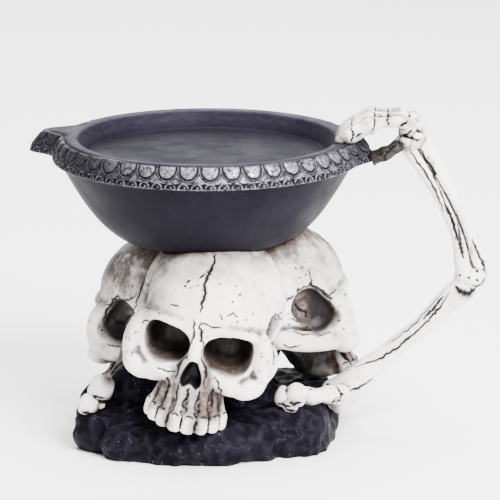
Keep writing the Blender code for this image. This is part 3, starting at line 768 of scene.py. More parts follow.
def make_band():
    """The carved band round the rim, drawn ten units to a scale."""
    sheet, column, row = rolled_sheet("rim_band", BAND_COLUMNS, BAND_ROWS + BAND_BACK_ROWS)
    angles, length = even_angles(BAND_COLUMNS, LUGS[1][0])
    column = column % BAND_COLUMNS
    angle = angles[column]
    share = np.clip(row / BAND_ROWS, 0, 1)
    radius = band_radius(angle, share)
    height = RIM_HEIGHT - BAND_HEIGHT * share
    count = round(length / SCALE_WIDTH)
    along = column / BAND_COLUMNS * count * 10.0
    relief, flat, line = scale_relief(along, share * 9.7, 10.0)
    front = row <= BAND_ROWS
    radius = radius + np.where(front, (relief * SCALE_RELIEF - 0.0002) * np.clip(6 * (1 - share), 0, 1), 0.0)
    back = ~front
    step = (row[back] - BAND_ROWS) / BAND_BACK_ROWS
    inner = RIM_RADIUS - 0.0035 + lug_bulge(angle[back]) * 0.7
    radius[back] = band_radius(angle[back], 1.0) * (1 - step) + inner * step
    height[back] = RIM_HEIGHT - BAND_HEIGHT - 0.0004 * np.sin(step * math.pi)
    height[row == BAND_ROWS + BAND_BACK_ROWS] = RIM_HEIGHT - 0.0002
    write_points(sheet, np.stack([radius * np.cos(angle), radius * np.sin(angle), height], axis=1))
    # Painted highlight: the silvering is brighter round the front, where it catches the light
    off = np.abs((angle + math.radians(68) + math.pi) % math.tau - math.pi)
    front_highlight = np.exp(-((off / math.radians(46)) ** 4))
    silver_and_highlight = np.maximum(flat * (0.08 + 0.88 * front_highlight), line * (0.55 + 0.45 * front_highlight))
    paint(sheet, "silver_and_highlight", np.where(front, silver_and_highlight, 0.0))
    return weld(sheet, bpy.ops.mesh.bridge_edge_loops)


# Skulls


def shape_skull():
    """One skull in clay, face along -Y, its cranium's middle at the origin."""
    rad = math.radians
    clay = [
        ball((0, 0.003, 0), (0.031, 0.036, 0.03)),
        ball((0, -0.014, -0.002), (0.0268, 0.0224, 0.025)),
        ball((0, -0.0194, -0.0165), (0.0276, 0.016, 0.0165), square=0.82),
        twin_balls((0.0145, -0.0292, -0.0036), (0.0112, 0.0056, 0.003), (0, rad(6), rad(24))),
        twin_balls((0.0264, -0.0226, -0.0148), (0.0054, 0.0078, 0.0122), (0, rad(-7), rad(20))),
        twin_balls((0.0236, -0.0262, -0.0262), (0.0078, 0.0066, 0.0052), (0, rad(-24), rad(24))),
        twin_balls((0.0158, -0.0308, -0.0262), (0.008, 0.0046, 0.0044), (0, rad(10), rad(24))),
        bone([(0, -0.0322, -0.0055, 0.0042), (0, -0.0364, -0.0125, 0.0036), (0, -0.037, -0.0155, 0.0028)]),
        bone([(0, -0.0195, -0.025, 0.0168), (0, -0.0215, -0.0325, 0.0146), (0, -0.0225, -0.0375, 0.0136)],
             ends=()),
        ball((0, -0.0235, -0.0402), (0.0142, 0.0124, 0.0066), square=0.8),
    ]
    for side in (1, -1):
        clay.append(bone([(side * 0.0242, -0.022, -0.023, 0.0058), (side * 0.0278, -0.013, -0.022, 0.0048),
                          (side * 0.0284, -0.003, -0.02, 0.0044), (side * 0.0254, 0.007, -0.017, 0.0044)]))
    skull = skin(gather("skull", clay), CLAY_GRAIN, 8)
    hollows = []
    for side in (1, -1):
        hollows.append(plug(SOCKET_RIM, ((-0.05, 1.06, 0), (-0.033, 1.0, 0), (-0.026, 0.93, 0.0008),
                                         (-0.02, 0.76, 0.0018), (-0.0165, 0.46, 0.0026)), side))
        hollows.append(plug(TEMPLE_RIM, ((0.04, 1.2, 0), (0.029, 1.02, 0), (0.0248, 0.84, 0),
                                         (0.0226, 0.5, 0)), side, sideways=True))
    hollows.append(plug(NOSE_RIM, ((-0.05, 1.1, 0), (-0.035, 1.0, 0), (-0.031, 0.84, 0), (-0.0285, 0.5, 0))))
    hollows.append(twin_balls((0.0298, -0.019, -0.0425), (0.0146, 0.017, 0.0102), square=0.9))
    hollows.append(twin_balls((0.0118, -0.0408, -0.0318), (0.0046, 0.0062, 0.004)))
    scoop(skull, skin(gather("hollows", hollows), HOLLOW_GRAIN, 4))
    teeth = []
    for x, y, turn, width, rise in tooth_places():
        teeth.append(ball((x, y, -0.0445 + rise), (width * 0.51, 0.0027, 0.0043), (rad(-5), 0, turn), 0.55))
        teeth.append(bone([(x * 0.98, y + 0.0007, -0.0412 + rise, 0.002),
                           (x * 0.93, y + 0.0017, -0.0362, 0.0015),
                             (x * 0.85, y + 0.0024, -0.0312, 0.0011)]))
    return skin(gather("skull", [skull, *teeth]), SKULL_GRAIN, 2)


def tooth_places():
    """Place, turn, width and rise of each tooth round the arch, from side to side."""
    places = []
    for i in range(8):
        angle = (i - 3.5) * math.radians(20.5)
        width = 0.00575 - 0.0006 * (abs(i - 3.5) > 1.2)
        places.append((0.0156 * math.sin(angle), -0.0235 - 0.0138 * math.cos(angle), angle, width,
                       0.0022 * math.sin(angle) ** 2))
    return places


def within(u, v, rim, scale=1.0):
    """Which points (u, v) lie inside a closed outline."""
    ring = smooth_ring(rim, 3)
    middle = ring.mean(0)
    ring = middle + (ring - middle) * scale
    inside = np.zeros(len(u), dtype=bool)
    for (ua, va), (ub, vb) in zip(ring, np.roll(ring, -1, axis=0)):
        if va != vb:
            crossing = (va > v) != (vb > v)
            inside ^= crossing & (u < (ub - ua) * (v - va) / (vb - va) + ua)
    return inside


def mirrored(points, width, depth):
    """A line on the left, then the same line on the right."""
    return [(points, width, depth), ([(-x, y, z) for x, y, z in points], width, depth)]


# Points, width and depth of each crack, suture and groove, in millimetres
SKULL_CRACKS = (
    ([(-1.5, -17.1, 24.6), (-1.2, -21.2, 22.0), (-1.8, -25.4, 19.3), (-2.2, -28.8, 16.3),
      (-1.9, -31.2, 13.4), (-1.3, -33.2, 10.3), (-1.3, -34.6, 7.0), (-1.1, -35.5, 3.6)], 0.66, 1.0),
    ([(-3.2, -26.4, 18.3), (-4.5, -27.5, 17.1), (-5.6, -28.7, 16.0)], 0.5, 0.7),
    ([(-8.4, -28.9, 14.5), (-9.8, -29.4, 13.1)], 0.55, 0.6),
    ([(-10.2, -29.7, 12.5), (-10.6, -30.1, 11.7)], 0.55, 0.6),
    ([(-26.5, -12, 10), (-28.5, -13, 2), (-27.6, -18, -2.5), (-25.3, -22.5, -3.6), (-23, -25.6, -2.0)],
      0.46, 0.6),
    ([(-25.3, -28.6, -8.7), (-24.2, -27.9, -7.1), (-22.2, -27.2, -6.6)], 0.34, 0.4),
    ([(-14.7, -31.8, 3.1), (-13.1, -32.4, 4.0), (-10.6, -33.6, 4.0)], 0.3, 0.3),
    ([(-3.5, -36.0, 0.6), (-3.2, -36.0, -1.4), (-2.2, -36.3, -4.4), (-2.2, -37.0, -9.0),
      (-4.6, -36.8, -13.5), (-5.8, -35.8, -20), (-6.4, -34.6, -27)], 0.56, 0.8),
    ([(-0.8, -36.0, 0.2), (0.5, -36.3, -3.9), (1.9, -37.0, -8.5), (4.6, -36.8, -13.5), (5.8, -35.8, -20),
      (6.4, -34.6, -27)], 0.56, 0.8),
    ([(-0.7, -36.2, -0.7), (2.3, -35.9, -0.3), (5.2, -35.7, -0.9), (8.9, -35.0, -1.1)], 0.34, 0.4),
    ([(6.6, -34.7, 4.5), (8.0, -34.6, 3.3), (7.8, -35.0, 1.6)], 0.26, 0.3),
    ([(9.6, -33.9, 4.6), (12.2, -32.6, 5.2), (14.3, -31.7, 4.5)], 0.26, 0.3),
    ([(18.5, 9, 24), (22.5, 7, 21), (26, 5, 16.5), (28.6, 3.5, 12), (30, 2, 6), (30, 0, 1),
      (29, -5, -3.6)], 0.36, 0.5),
    ([(29.6, 0, 6), (30, -4, 3), (29.2, -8, 2.2), (28.2, -12, 0), (26.6, -17, -2), (25.0, -21, -3)], 0.4,
      0.6),
    ([(-30.6, 8, -1.0), (-30.6, 3.6, -1.9), (-29.4, -1.6, 1.2), (-28.4, -7, 3.2), (-27.8, -11.5, 3.6),
      (-26.8, -16, 0.6), (-26.6, -19.6, -4.0), (-27.6, -22.0, -10)], 0.52, 0.8),
    ([(28.6, -1.6, 0.2), (28.0, -7, 3.0), (27.4, -11.5, 3.4), (26.8, -16, 0.4), (26.8, -19.6, -4.4),
      (27.6, -22.2, -10)], 0.5, 0.8),
    ([(-23.6, -5.5, -4.5), (-22.9, -7.3, -7.7), (-22.7, -9.4, -9.7), (-22.9, -10.9, -12.4)], 0.5, 0.7),
    ([(24.8, -18.8, -8.0), (23.3, -17.2, -10.9), (22.7, -14.3, -10.9), (22.7, -12.2, -7.8),
      (22.7, -8.8, -6.0)], 0.5, 0.7),
    ([(-29.3, 0.9, -8.8), (-29.0, -1.7, -9.4), (-25.4, -5.7, -12.2)], 0.36, 0.5),
    *mirrored([(-28.9, 1.0, -14.4), (-30.4, -4.1, -16.6), (-30.8, -9.6, -18.4), (-29.6, -17.8, -19.0)],
      0.4, 0.5),
    *mirrored([(-30.3, 5.0, -18.6), (-30.6, 3.0, -20.5), (-32.3, -2.0, -20.4)], 0.4, 0.5),
    ([(26, 12, 16), (20, 20, 19), (10, 24, 22), (0, 26, 21), (-10, 24, 22), (-20, 20, 19), (-26, 12, 16)],
      0.42, 0.5),
    ([(0, 26, 21), (1, 12, 28), (0, 0, 30)], 0.42, 0.5),
    ([(-14.7, -34.8, -23.4), (-10.6, -34.9, -23.9), (-6.3, -34.2, -24.2)], 0.36, 0.5),
    ([(9.2, -35.0, -22.8), (13.5, -33.2, -26), (15.4, -31.2, -30)], 0.36, 0.5),
    ([(-9.0, -34.2, -27), (-9.4, -33.2, -32), (-8.6, -32.6, -36)], 0.5, 0.7),
    ([(9.4, -34.2, -27), (10.6, -32.4, -33), (11.0, -31.6, -37)], 0.5, 0.7),
)
# Middles of the groups of small pits, in millimetres
SKULL_PITS = ((-28, -27, -13), (-26, -30, -19), (27.5, -27, -9), (28, -28, -15), (-29, -6, 8),
              (29, -6, 8), (-20, -30, 0), (20, -30, 1), (12, -30, 13), (-30, 3, -6), (30, 3, -6),
              (-29, -24, -17), (0, -31, 15), (8, 22, 18), (-12, 20, 20))


def skull_lines():
    """Every line carved into a skull: points, width, depth and wander."""
    lines = [(np.array(points) * MM, width * MM, depth * MM, 0.0003) for points, width, depth in SKULL_CRACKS]
    places = tooth_places()
    for (xa, ya, *_), (xb, yb, *_) in zip(places, places[1:]):
        x, y = (xa + xb) / 2, (ya + yb) / 2
        lines.append((np.array([(x * 1.04, y - 0.0012, -0.0484), (x * 1.02, y - 0.0008, -0.0408),
                                (x * 0.96, y + 0.0006, -0.036), (x * 0.9, y + 0.0014, -0.032),
                                (x * 0.84, y + 0.002, -0.028)]), 0.0005, 0.001, 0.00022))
    for x, y, turn, width, rise in places:
        aside = np.array((math.cos(turn), math.sin(turn), 0)) * width * 0.46
        middle = np.array((x, y, -0.0404 + rise)) + np.array((math.sin(turn), -math.cos(turn), 0)) * 0.0026
        gum = np.array([middle - aside, middle + (0, 0, 0.0009), middle + aside])
        lines.append((gum, 0.00038, 0.0005, 0.00012))
    return lines


def carve_skull(skull, seed):
    """Hand work on one skull: cracks, sutures, roots and pits, then the washes and the painted shade in its
    hollows and under its cheeks.
    """
    co = read_points(skull)
    no = read_normals(skull)
    wobble = lumps(co, 0.013, seed) * 0.00035 + lumps(co, 0.0042, seed + 9) * 0.00014
    write_points(skull, co + no * np.where(co[:, 2] > -0.03, wobble, wobble * 0.4)[:, None])
    ink = np.zeros(len(co))
    for i, (points, width, depth, wander) in enumerate(skull_lines()):
        stroke(skull, points, width, depth, int(seed * 100) + i, wander, ink, width * 1.25)
    rng = np.random.default_rng(int(seed * 10))
    spots = [np.array(middle) + rng.normal(0, 3.2, 3) for middle in SKULL_PITS for _ in range(4)]
    prick(skull, np.array(spots) * MM, 0.00034, 0.0004, ink)
    co = read_points(skull)
    wash_into(skull, 0.00012, 0.00062)
    edges = neighbours(skull)
    x, y, z = co.T
    side = np.abs(x)
    # Painted shade with the dark wash: deep in the sockets, darker at their top under the brow, and in the
    # nose
    rim_depth = -0.0372 + (side - 0.003) * 0.55
    deep = rising(y - rim_depth, 0.0004, 0.006)
    socket = within(side, z, SOCKET_RIM, 1.03) & (y < -0.012)
    dark = np.where(socket, deep * (0.2 + 0.66 * rising(z, -0.02, 0.011)), 0.0)
    nose = within(x, z, NOSE_RIM, 1.02) & (y < -0.02)
    dark = np.maximum(dark, np.where(nose, np.minimum(rising(y, -0.0372, 0.002), 0.97), 0.0))
    # Painted shade under the cheekbones
    below = falling(z, -0.0265, 0.005) * rising(y, -0.0245, 0.004)
    dark = np.maximum(dark, 0.72 * below * falling(side, 0.034, 0.002))
    # The temples' hollows darkened with painted shade, most towards the front
    temple = within(y, z, TEMPLE_RIM, 1.05) & (side > 0.018)
    sunk = falling(side, 0.0286, 0.0035)
    front = np.maximum(falling(y, -0.0085, 0.006), 0.12)
    dark = np.maximum(dark, np.where(temple, 0.85 * sunk * front, 0.0))
    paint(skull, "depth", rub(dark, edges, 3))
    stain = np.where(temple, np.maximum(sunk, 0.1), 0.0)
    stain = np.maximum(stain, np.where(socket, 0.22 + 0.4 * deep, 0.0))
    roots = falling(z, -0.025, 0.006) * rising(z, -0.043, 0.003)
    roots *= falling(side, 0.0165, 0.003) * (y < -0.02)
    # The wash over the tooth roots is deeper out to the sides and on the skull's right side: painted shade
    # beside the cheeks
    shaded = np.maximum(rising(side, 0.004, 0.006), rising(x, 0.001, 0.006))
    beside = bell(side, 0.0062, 0.0026) * falling(z, -0.006, 0.008) * (y < -0.028)
    roots = np.maximum(roots * (0.54 + 0.43 * shaded), beside * 0.85)
    wash = np.maximum(rub(stain, edges, 4), roots)
    paint(skull, "wash_and_shade", np.clip(np.maximum(read_paint(skull, "wash_and_shade"), wash), 0, 1))
    paint(skull, "ink", np.clip(ink * 1.1, 0, 1))


def paint_shade_and_wash(skull):
    """Painted shade under the bowl and on the skulls' left sides, in the wash's colour, and more wash further
    back and higher up.
    """
    co = read_points(skull)
    x, y, z = co.T
    # Painted shade high up under the bowl and on the upper left, away from the light; the wash grows further
    # back and higher up
    high = rising(z, 0.078, 0.011)
    left = falling(x, -0.006, 0.03) * rising(z, 0.052, 0.02)
    behind = rising(y, -0.024, 0.01) * (0.2 + 0.46 * rising(z, 0.062, 0.018))
    cloud = 0.66 + 0.6 * lumps(co, 0.009, 12.0) + 0.3 * lumps(co, 0.003, 14.0)
    wash = np.clip((0.56 * high + 1.4 * left + behind) * cloud, 0, 0.8)
    paint(skull, "wash_and_shade", np.maximum(read_paint(skull, "wash_and_shade"), wash))


def stand_skull(skull, turn, spread, height, lean, nod):
    """Sets a skull in its place, seats its crown under the bowl and paints the wash and the shade under the
    bowl and on its left side over it.
    """
    bearing = SKULL_BEARING + turn
    x = SKULL_GROUP[0] + spread * math.cos(bearing)
    y = SKULL_GROUP[1] + spread * math.sin(bearing)
    skull.matrix_world = (Matrix.Translation((x, y, height)) @ Matrix.Rotation(bearing + math.pi / 2, 4, "Z")
                          @ Matrix.Rotation(math.radians(lean), 4, "Y")
                          @ Matrix.Rotation(math.radians(nod), 4, "X"))
    take_up(skull)
    bpy.ops.object.transform_apply(location=True, rotation=True, scale=True)
    seat_under_bowl(skull)
    paint_shade_and_wash(skull)


def seat_under_bowl(piece):
    """Nothing of the piece reaches into the bowl: the glue line stays free."""
    co = read_points(piece)
    profile = body_profile(60)[::-1]
    radius = np.hypot(co[:, 0], co[:, 1])
    ceiling = np.interp(radius, profile[:, 0], profile[:, 1], left=FOOT_HEIGHT) - GLUE_LINE
    co[:, 2] = np.minimum(co[:, 2], np.where(radius < profile[-1, 0], ceiling, co[:, 2]))
    write_points(piece, co)


# Rock and loose bones


def make_rock():
    """Boulders fused into one, made craggy and cut flat underneath."""
    clay = [ball(at, size, square=0.8) for at, size in (
        ((-0.008, -0.0325, 0.006), (0.036, 0.026, 0.0125)),
        ((-0.037, -0.024, 0.007), (0.019, 0.018, 0.013)),
        ((0.017, -0.029, 0.0056), (0.019, 0.02, 0.0112)),
        ((0.0385, -0.019, 0.007), (0.018, 0.023, 0.0135)),
        ((-0.0285, -0.012, 0.019), (0.0165, 0.015, 0.015)),
        ((0.0355, 0.008, 0.008), (0.0225, 0.0235, 0.014)),
        ((-0.0355, -0.002, 0.0065), (0.0215, 0.03, 0.0125)),
        ((0.0000, 0.03, 0.007), (0.04, 0.028, 0.014)),
        ((-0.032, 0.026, 0.007), (0.022, 0.022, 0.0125)),
        ((0.034, 0.027, 0.007), (0.021, 0.021, 0.013)),
        ((0.005, 0.0000, 0.026), (0.025, 0.025, 0.036)))]
    rock = skin(gather("rock", clay), ROCK_GRAIN, 9)
    co = read_points(rock)
    no = read_normals(rock)
    finer = np.array([abs(noise.noise(Vector(p) * (2.3 / 0.017) + Vector((7, 3, 1)))) for p in co])
    crag = lumps(co, 0.017) - 0.5 * finer
    crag = crag * 0.0042 + lumps(co, 0.0034, 6.0) * 0.0004 - np.abs(lumps(co, 0.0052, 8.0)) * 0.0006
    write_points(rock, co + no * crag[:, None])
    put_down()
    bpy.ops.mesh.primitive_cube_add(size=0.3, location=(0, 0, -0.15))
    scoop(rock, bpy.context.object)
    seat_under_bowl(rock)
    wash_into(rock, 0.00016, 0.0005)
    return rock


# Shaft and knuckles (x, y, z, radius) of each loose bone, and cracks (points, width, depth), in metres
LOOSE_BONES = (
    ("loose_bone_left",
     [(-0.0325, -0.011, 0.041, 0.004), (-0.0348, -0.0145, 0.0345, 0.0031),
      (-0.0395, -0.0205, 0.0275, 0.0033), (-0.0436, -0.0262, 0.024, 0.004)],
     [(-0.0438, -0.0285, 0.0262, 0.0056), (-0.0487, -0.0298, 0.0188, 0.0048),
      (-0.0448, -0.0292, 0.0176, 0.0036)],
     []),
    ("loose_bone_right",
     [(0.058, -0.012, 0.0205, 0.0042), (0.05, -0.022, 0.0225, 0.0035), (0.0415, -0.029, 0.0245, 0.0042)],
     [(0.0405, -0.031, 0.0255, 0.005), (0.035, -0.03, 0.024, 0.0043), (0.0378, -0.0318, 0.0212, 0.0034)],
     [([(0.0525, -0.017, 0.0235), (0.054, -0.018, 0.0205), (0.0555, -0.0175, 0.0175)], 0.0009, 0.0011),
      ([(0.056, -0.0155, 0.024), (0.057, -0.0165, 0.021), (0.0585, -0.016, 0.0185)], 0.0008, 0.001)]),
)


def make_loose_bones():
    bones = []
    for name, shaft, knuckles, cracks in LOOSE_BONES:
        parts, ends = bone(shaft), []
        for x, y, z, radius in knuckles:
            parts.append(ball((x, y, z), (radius, radius * 0.9, radius * 1.05), (0.4, 0.3, 0.0), 0.86))
            ends.append(([(x - 0.0034, y - 0.004, z - 0.0022), (x - 0.001, y - 0.005, z - 0.0034),
                          (x + 0.003, y - 0.004, z - 0.003)], 0.0008, 0.0009))
        line = [station[:3] for station in shaft]
        piece = skin(gather(name, parts), LOOSE_BONE_GRAIN, 4)
        ends += [(line[:2], 0.0006, 0.0008), (line[1:], 0.0005, 0.0007)]
        finish_bone(piece, 4.0, ends + cracks, 0.0009)
        # Painted shadow on the left bone's shaft, where it rises behind its knuckle
        if name == "loose_bone_left":
            x, _, z = read_points(piece).T
            paint(piece, "depth", 0.75 * rising(z, 0.027, 0.004) * rising(x, -0.044, 0.004))
        bones.append(piece)
    return bones


def finish_bone(piece, seed, cracks, rough=0.00022):
    """Uneven surface, cracks and washes of a loose bone or of the arm."""
    co = read_points(piece)
    no = read_normals(piece)
    uneven = lumps(co, 0.005, seed) * rough + lumps(co, 0.0019, seed + 4) * 0.00009
    write_points(piece, co + no * uneven[:, None])
    ink = np.zeros(len(co))
    for i, (points, width, depth) in enumerate(cracks):
        stroke(piece, points, width, depth, int(seed * 10) + i, 0.00022, ink, width * 1.3)
    wash_into(piece, 0.00007, 0.0003)
    paint(piece, "ink", ink)
    paint(piece, "depth", np.zeros(len(co)))


# Arm and hand


# Stations (x, y, z, radius) of the arm's bones, in metres
UPPER_ARM = ((0.0565, 0, 0.0165, 0.0078), (0.0615, 0, 0.0205, 0.0072), (0.0672, 0, 0.0262, 0.006),
             (0.0732, 0, 0.0315, 0.0049), (0.0792, 0, 0.0368, 0.0046), (0.0852, 0, 0.0419, 0.0044),
             (0.0912, 0, 0.0466, 0.0044), (0.0972, 0, 0.0526, 0.0048), (0.1045, 0, 0.06, 0.0054),
             (0.111, 0, 0.0655, 0.0062))
OUTER_BONE = ((0.1152, 0.0012, 0.07, 0.005), (0.1168, 0.0012, 0.0772, 0.004), (0.114, 0.0014, 0.0867, 0.0031),
              (0.1101, 0.0014, 0.0972, 0.0029), (0.1048, 0.0014, 0.1076, 0.0029),
              (0.0988, 0.0012, 0.1181, 0.0032), (0.0925, 0.0008, 0.129, 0.004))
INNER_BONE = ((0.1125, -0.0014, 0.071, 0.0048), (0.1102, -0.0014, 0.0762, 0.0036),
              (0.1084, -0.0014, 0.0867, 0.0026), (0.1043, -0.0014, 0.0972, 0.0024),
              (0.0991, -0.0014, 0.1076, 0.0024), (0.0925, -0.0012, 0.1181, 0.0027),
              (0.0865, -0.0008, 0.128, 0.0036))


def make_arm():
    upper_arm = skin(gather("upper_arm", bone(UPPER_ARM)), UPPER_ARM_GRAIN, 2)
    finish_bone(upper_arm, 6.0, both_sides(UPPER_ARM_LINES))
    parts = bone(OUTER_BONE) + bone(INNER_BONE) + [ball((0.114, 0, 0.0708), (0.0072, 0.0064, 0.0052))]
    forearm = skin(gather("forearm", parts), FOREARM_GRAIN, 2)
    finish_bone(forearm, 7.0, both_sides(FOREARM_LINES))
    return [upper_arm, forearm, make_hand()]


# Points, width and depth of the lines along the arm, in millimetres
UPPER_ARM_LINES = (
    ([(105.1, -4.5, 64.9), (100.8, -4.8, 58.2), (94.9, -4.4, 51.3), (88.9, -4.3, 45.0),
      (82.1, -4.4, 39.1), (73.9, -4.4, 34.0), (65.2, -3.4, 30.4)], 0.5, 0.8),
    ([(103.6, -1.5, 66.3), (99.1, -2.7, 60.8), (92.3, -2.7, 52.6), (85.9, -2.8, 46.3),
      (77.3, -2.6, 39.8)], 0.34, 0.5),
    ([(102.6, -3.6, 62.8), (98.0, -3.9, 57.4), (93.6, -3.8, 52.0)], 0.62, 0.7),
    ([(72.6, -4.2, 25.6), (70.1, -4.5, 24.0), (65.8, -6.0, 21.7), (61.5, -7.1, 20.6)], 0.6, 0.8),
    ([(51.7, -2.1, 22.1), (54.5, -6.2, 20.7), (56.3, -7.6, 17.5), (58.5, -7.4, 15.6)], 0.95, 1.2),
    ([(54.5, -5.2, 23.0), (56.8, -7.0, 20.0), (59.4, -7.6, 18.0)], 0.6, 0.9),
    ([(107.6, -4.4, 67.2), (110.2, -6.0, 65.2), (113.7, -5.2, 64.4), (116.6, -3.9, 66.8)], 1.5, 1.2),
)
FOREARM_LINES = (
    ([(91.0, -3.6, 129.4), (91.8, -2.7, 127.3), (94.0, -1.9, 122.3), (96.6, -1.6, 118.4),
      (100.2, -2.8, 109.5), (104.6, -3.5, 98.7), (107.3, -3.7, 91.3), (109.5, -4.1, 83.5)], 0.56, 0.9),
    ([(86.8, -5.0, 127.8), (89.8, -4.0, 122.7), (94.1, -3.7, 116.6), (98.5, -3.6, 108.8),
      (102.0, -3.5, 100.0)], 0.46, 0.7),
    ([(107.6, -1.7, 95.3), (109.0, -3.7, 87.8), (110.4, -4.3, 80.0)], 0.95, 1.1),
    ([(103.3, -3.4, 102.2), (105.9, -3.5, 95.6), (107.3, -3.7, 87.8)], 0.5, 0.7),
    ([(114.2, -1.4, 88.2), (116.8, -2.1, 80.9), (120.4, -0.6, 73.0)], 0.46, 0.7),
    ([(119.0, -2.6, 79.0), (120.6, -2.2, 75.0), (121.4, -1.2, 71.5)], 0.46, 0.6),
    ([(107.0, -3.6, 69.0), (108.6, -5.0, 66.8), (111.2, -6.0, 65.4), (114.4, -5.6, 65.2),
      (117.4, -4.2, 67.6), (119.6, -3.4, 70.9)], 1.3, 1.2),
    ([(116.6, -3.9, 75.5), (117.0, -3.9, 73.6)], 0.6, 0.5),
    ([(112.6, -5.6, 72.0), (114.0, -5.6, 71.2)], 0.5, 0.4),
    ([(109.2, -4.6, 73.0), (109.4, -4.6, 72.2)], 0.5, 0.4),
    ([(115.6, -4.8, 71.0), (116.4, -4.6, 70.4)], 0.5, 0.4),
)


def both_sides(lines):
    """The same lines, in metres, on the seen side and on the far side."""
    return [([(x * MM, side * y * MM, z * MM) for x, y, z in points], width * MM, depth * MM)
            for points, width, depth in lines for side in (1, -1)]


# Distance out, height and radius along a finger, from the wrist to the tip
FINGER_ROUTE = ((0.0872, 0.1386, 0.0034), (0.083, 0.1406, 0.0027), (0.0785, 0.1408, 0.0022),
                (0.074, 0.1407, 0.0025), (0.0705, 0.1397, 0.0038), (0.0668, 0.138, 0.0031),
                (0.064, 0.1362, 0.0033), (0.0614, 0.1344, 0.0037), (0.0588, 0.1328, 0.0028),
                (0.0565, 0.1296, 0.0024))
# Lines over the wrist, in millimetres
WRIST_LINES = (
    ((82.5, -10.7, 138.4), (84.3, -11.2, 139.6), (86.0, -10.0, 140.6)),
    ((84.8, -7.9, 134.0), (85.9, -9.1, 135.5), (87.6, -10.8, 138.1)),
    ((85.2, 0.6, 142.2), (87.0, -4.7, 141.6), (89.2, -7.9, 141.0), (90.9, -6.1, 139.3)),
    ((82.9, -7.1, 132.3), (85.0, -8.0, 133.0), (88.0, -9.8, 133.8), (91.4, -8.0, 134.0)),
    ((89.4, -9.4, 137.6), (90.4, -8.8, 136.0), (92.0, -7.4, 135.0)),
    ((84.0, -8.4, 130.2), (87.0, -9.0, 129.4), (90.6, -8.0, 129.8)),
)


# Knuckles of the wrist (x, y, z, radius) and stations of the thumb, in metres
KNUCKLES = ((0.0862, -0.0078, 0.1366, 0.0031), (0.09, -0.0076, 0.1342, 0.0032),
            (0.0858, -0.008, 0.1318, 0.0031), (0.0896, -0.0066, 0.1378, 0.003),
            (0.0888, -0.0078, 0.1306, 0.003))
THUMB = ((0.0858, -0.004, 0.1322, 0.0034), (0.083, -0.005, 0.13, 0.003), (0.0792, -0.0052, 0.1272, 0.0027),
         (0.0765, -0.0052, 0.1256, 0.0035), (0.0735, -0.0048, 0.1244, 0.0031),
         (0.071, -0.004, 0.1234, 0.0034))
# How far aside each finger lies, and how much it arches
FINGERS = ((-0.0106, -0.001), (-0.0037, 0.0003), (0.0033, 0.0005), (0.0101, -0.0002))
THUMB_LINES = (((0.0775, -0.0085, 0.1272), (0.0765, -0.0088, 0.125), (0.0762, -0.0075, 0.123)),
               ((0.0815, -0.008, 0.13), (0.0785, -0.008, 0.128), (0.074, -0.0078, 0.1252)))


def finger(aside, lift):
    """Stations of one finger, which start closer to the hand's middle than they end."""
    stations = []
    for i, (x, z, radius) in enumerate(FINGER_ROUTE):
        share = i / (len(FINGER_ROUTE) - 1)
        spread = aside * (0.78 + 0.22 * min(1.0, 2 * share))
        stations.append((x, spread, z + lift * math.sin(math.pi * share), radius))
    return stations


def hand_lines(fingers):
    """Lines between the fingers, over their joints and along them, over the wrist and on the thumb."""
    lines = []
    for stations, beyond in zip(fingers, fingers[1:]):
        between = [((a[0] + b[0]) / 2, (a[1] + b[1]) / 2, (a[2] + b[2]) / 2 + 0.001)
                   for a, b in zip(stations, beyond)]
        lines.append((between, 0.0007, 0.0011))
    for stations in fingers:
        for i, shift in ((4, 0.0012), (7, 0.001), (2, -0.0006)):
            x, y, z, radius = stations[i]
            joint = [(x + shift, y - radius, z - radius * 0.6),
                     (x + shift * 1.6, y - radius * 0.8, z + radius * 0.5), (x + shift, y, z + radius)]
            lines.append((joint, 0.00042, 0.0006))
        (xa, ya, za, _), (xb, yb, zb, _) = stations[5], stations[6]
        lines.append(([(xa, ya - 0.0027, za - 0.001), (xb, yb - 0.003, zb - 0.0012)], 0.0005, 0.0006))
    for side in (1, -1):
        for line in WRIST_LINES:
            lines.append(([(x * MM, side * y * MM, z * MM) for x, y, z in line], 0.0006, 0.0009))
    return lines + [(line, 0.0005, 0.0006) for line in THUMB_LINES]


def make_hand():
    parts = [ball((0.0879, 0, 0.1346), (0.0059, 0.01, 0.0078))]
    fingers = [finger(aside, lift) for aside, lift in FINGERS]
    parts += [bone(stations) for stations in fingers]
    for x, y, z, size in KNUCKLES:
        parts += [ball((x, side * y, z), (size, size, size * 0.85)) for side in (1, -1)]
    parts.append(bone(THUMB))
    hand = skin(gather("hand", parts), HAND_GRAIN, 2)
    keep_off_rim(hand)
    finish_bone(hand, 8.0, hand_lines(fingers))
    co = read_points(hand)
    x, _, z = co.T
    # Painted shadow on the thumb, under the lug, with the brown wash; a darker wash at the finger tips, and a
    # thin one all over
    thumb = falling(z, 0.1326, 0.0012) * falling(x, 0.0866, 0.0025)
    tips = falling(x, 0.065, 0.006) * falling(z, 0.1365, 0.003) * 0.7
    smear = np.clip(0.2 + 0.4 * lumps(co, 0.0045, 21.0) + 0.2 * lumps(co, 0.0015, 23.0), 0, 0.5)
    wash = np.maximum(smear, np.maximum(thumb, tips))
    paint(hand, "wash_and_shade", np.maximum(read_paint(hand, "wash_and_shade"), wash))
    paint(hand, "depth", thumb * 0.55)
    return hand


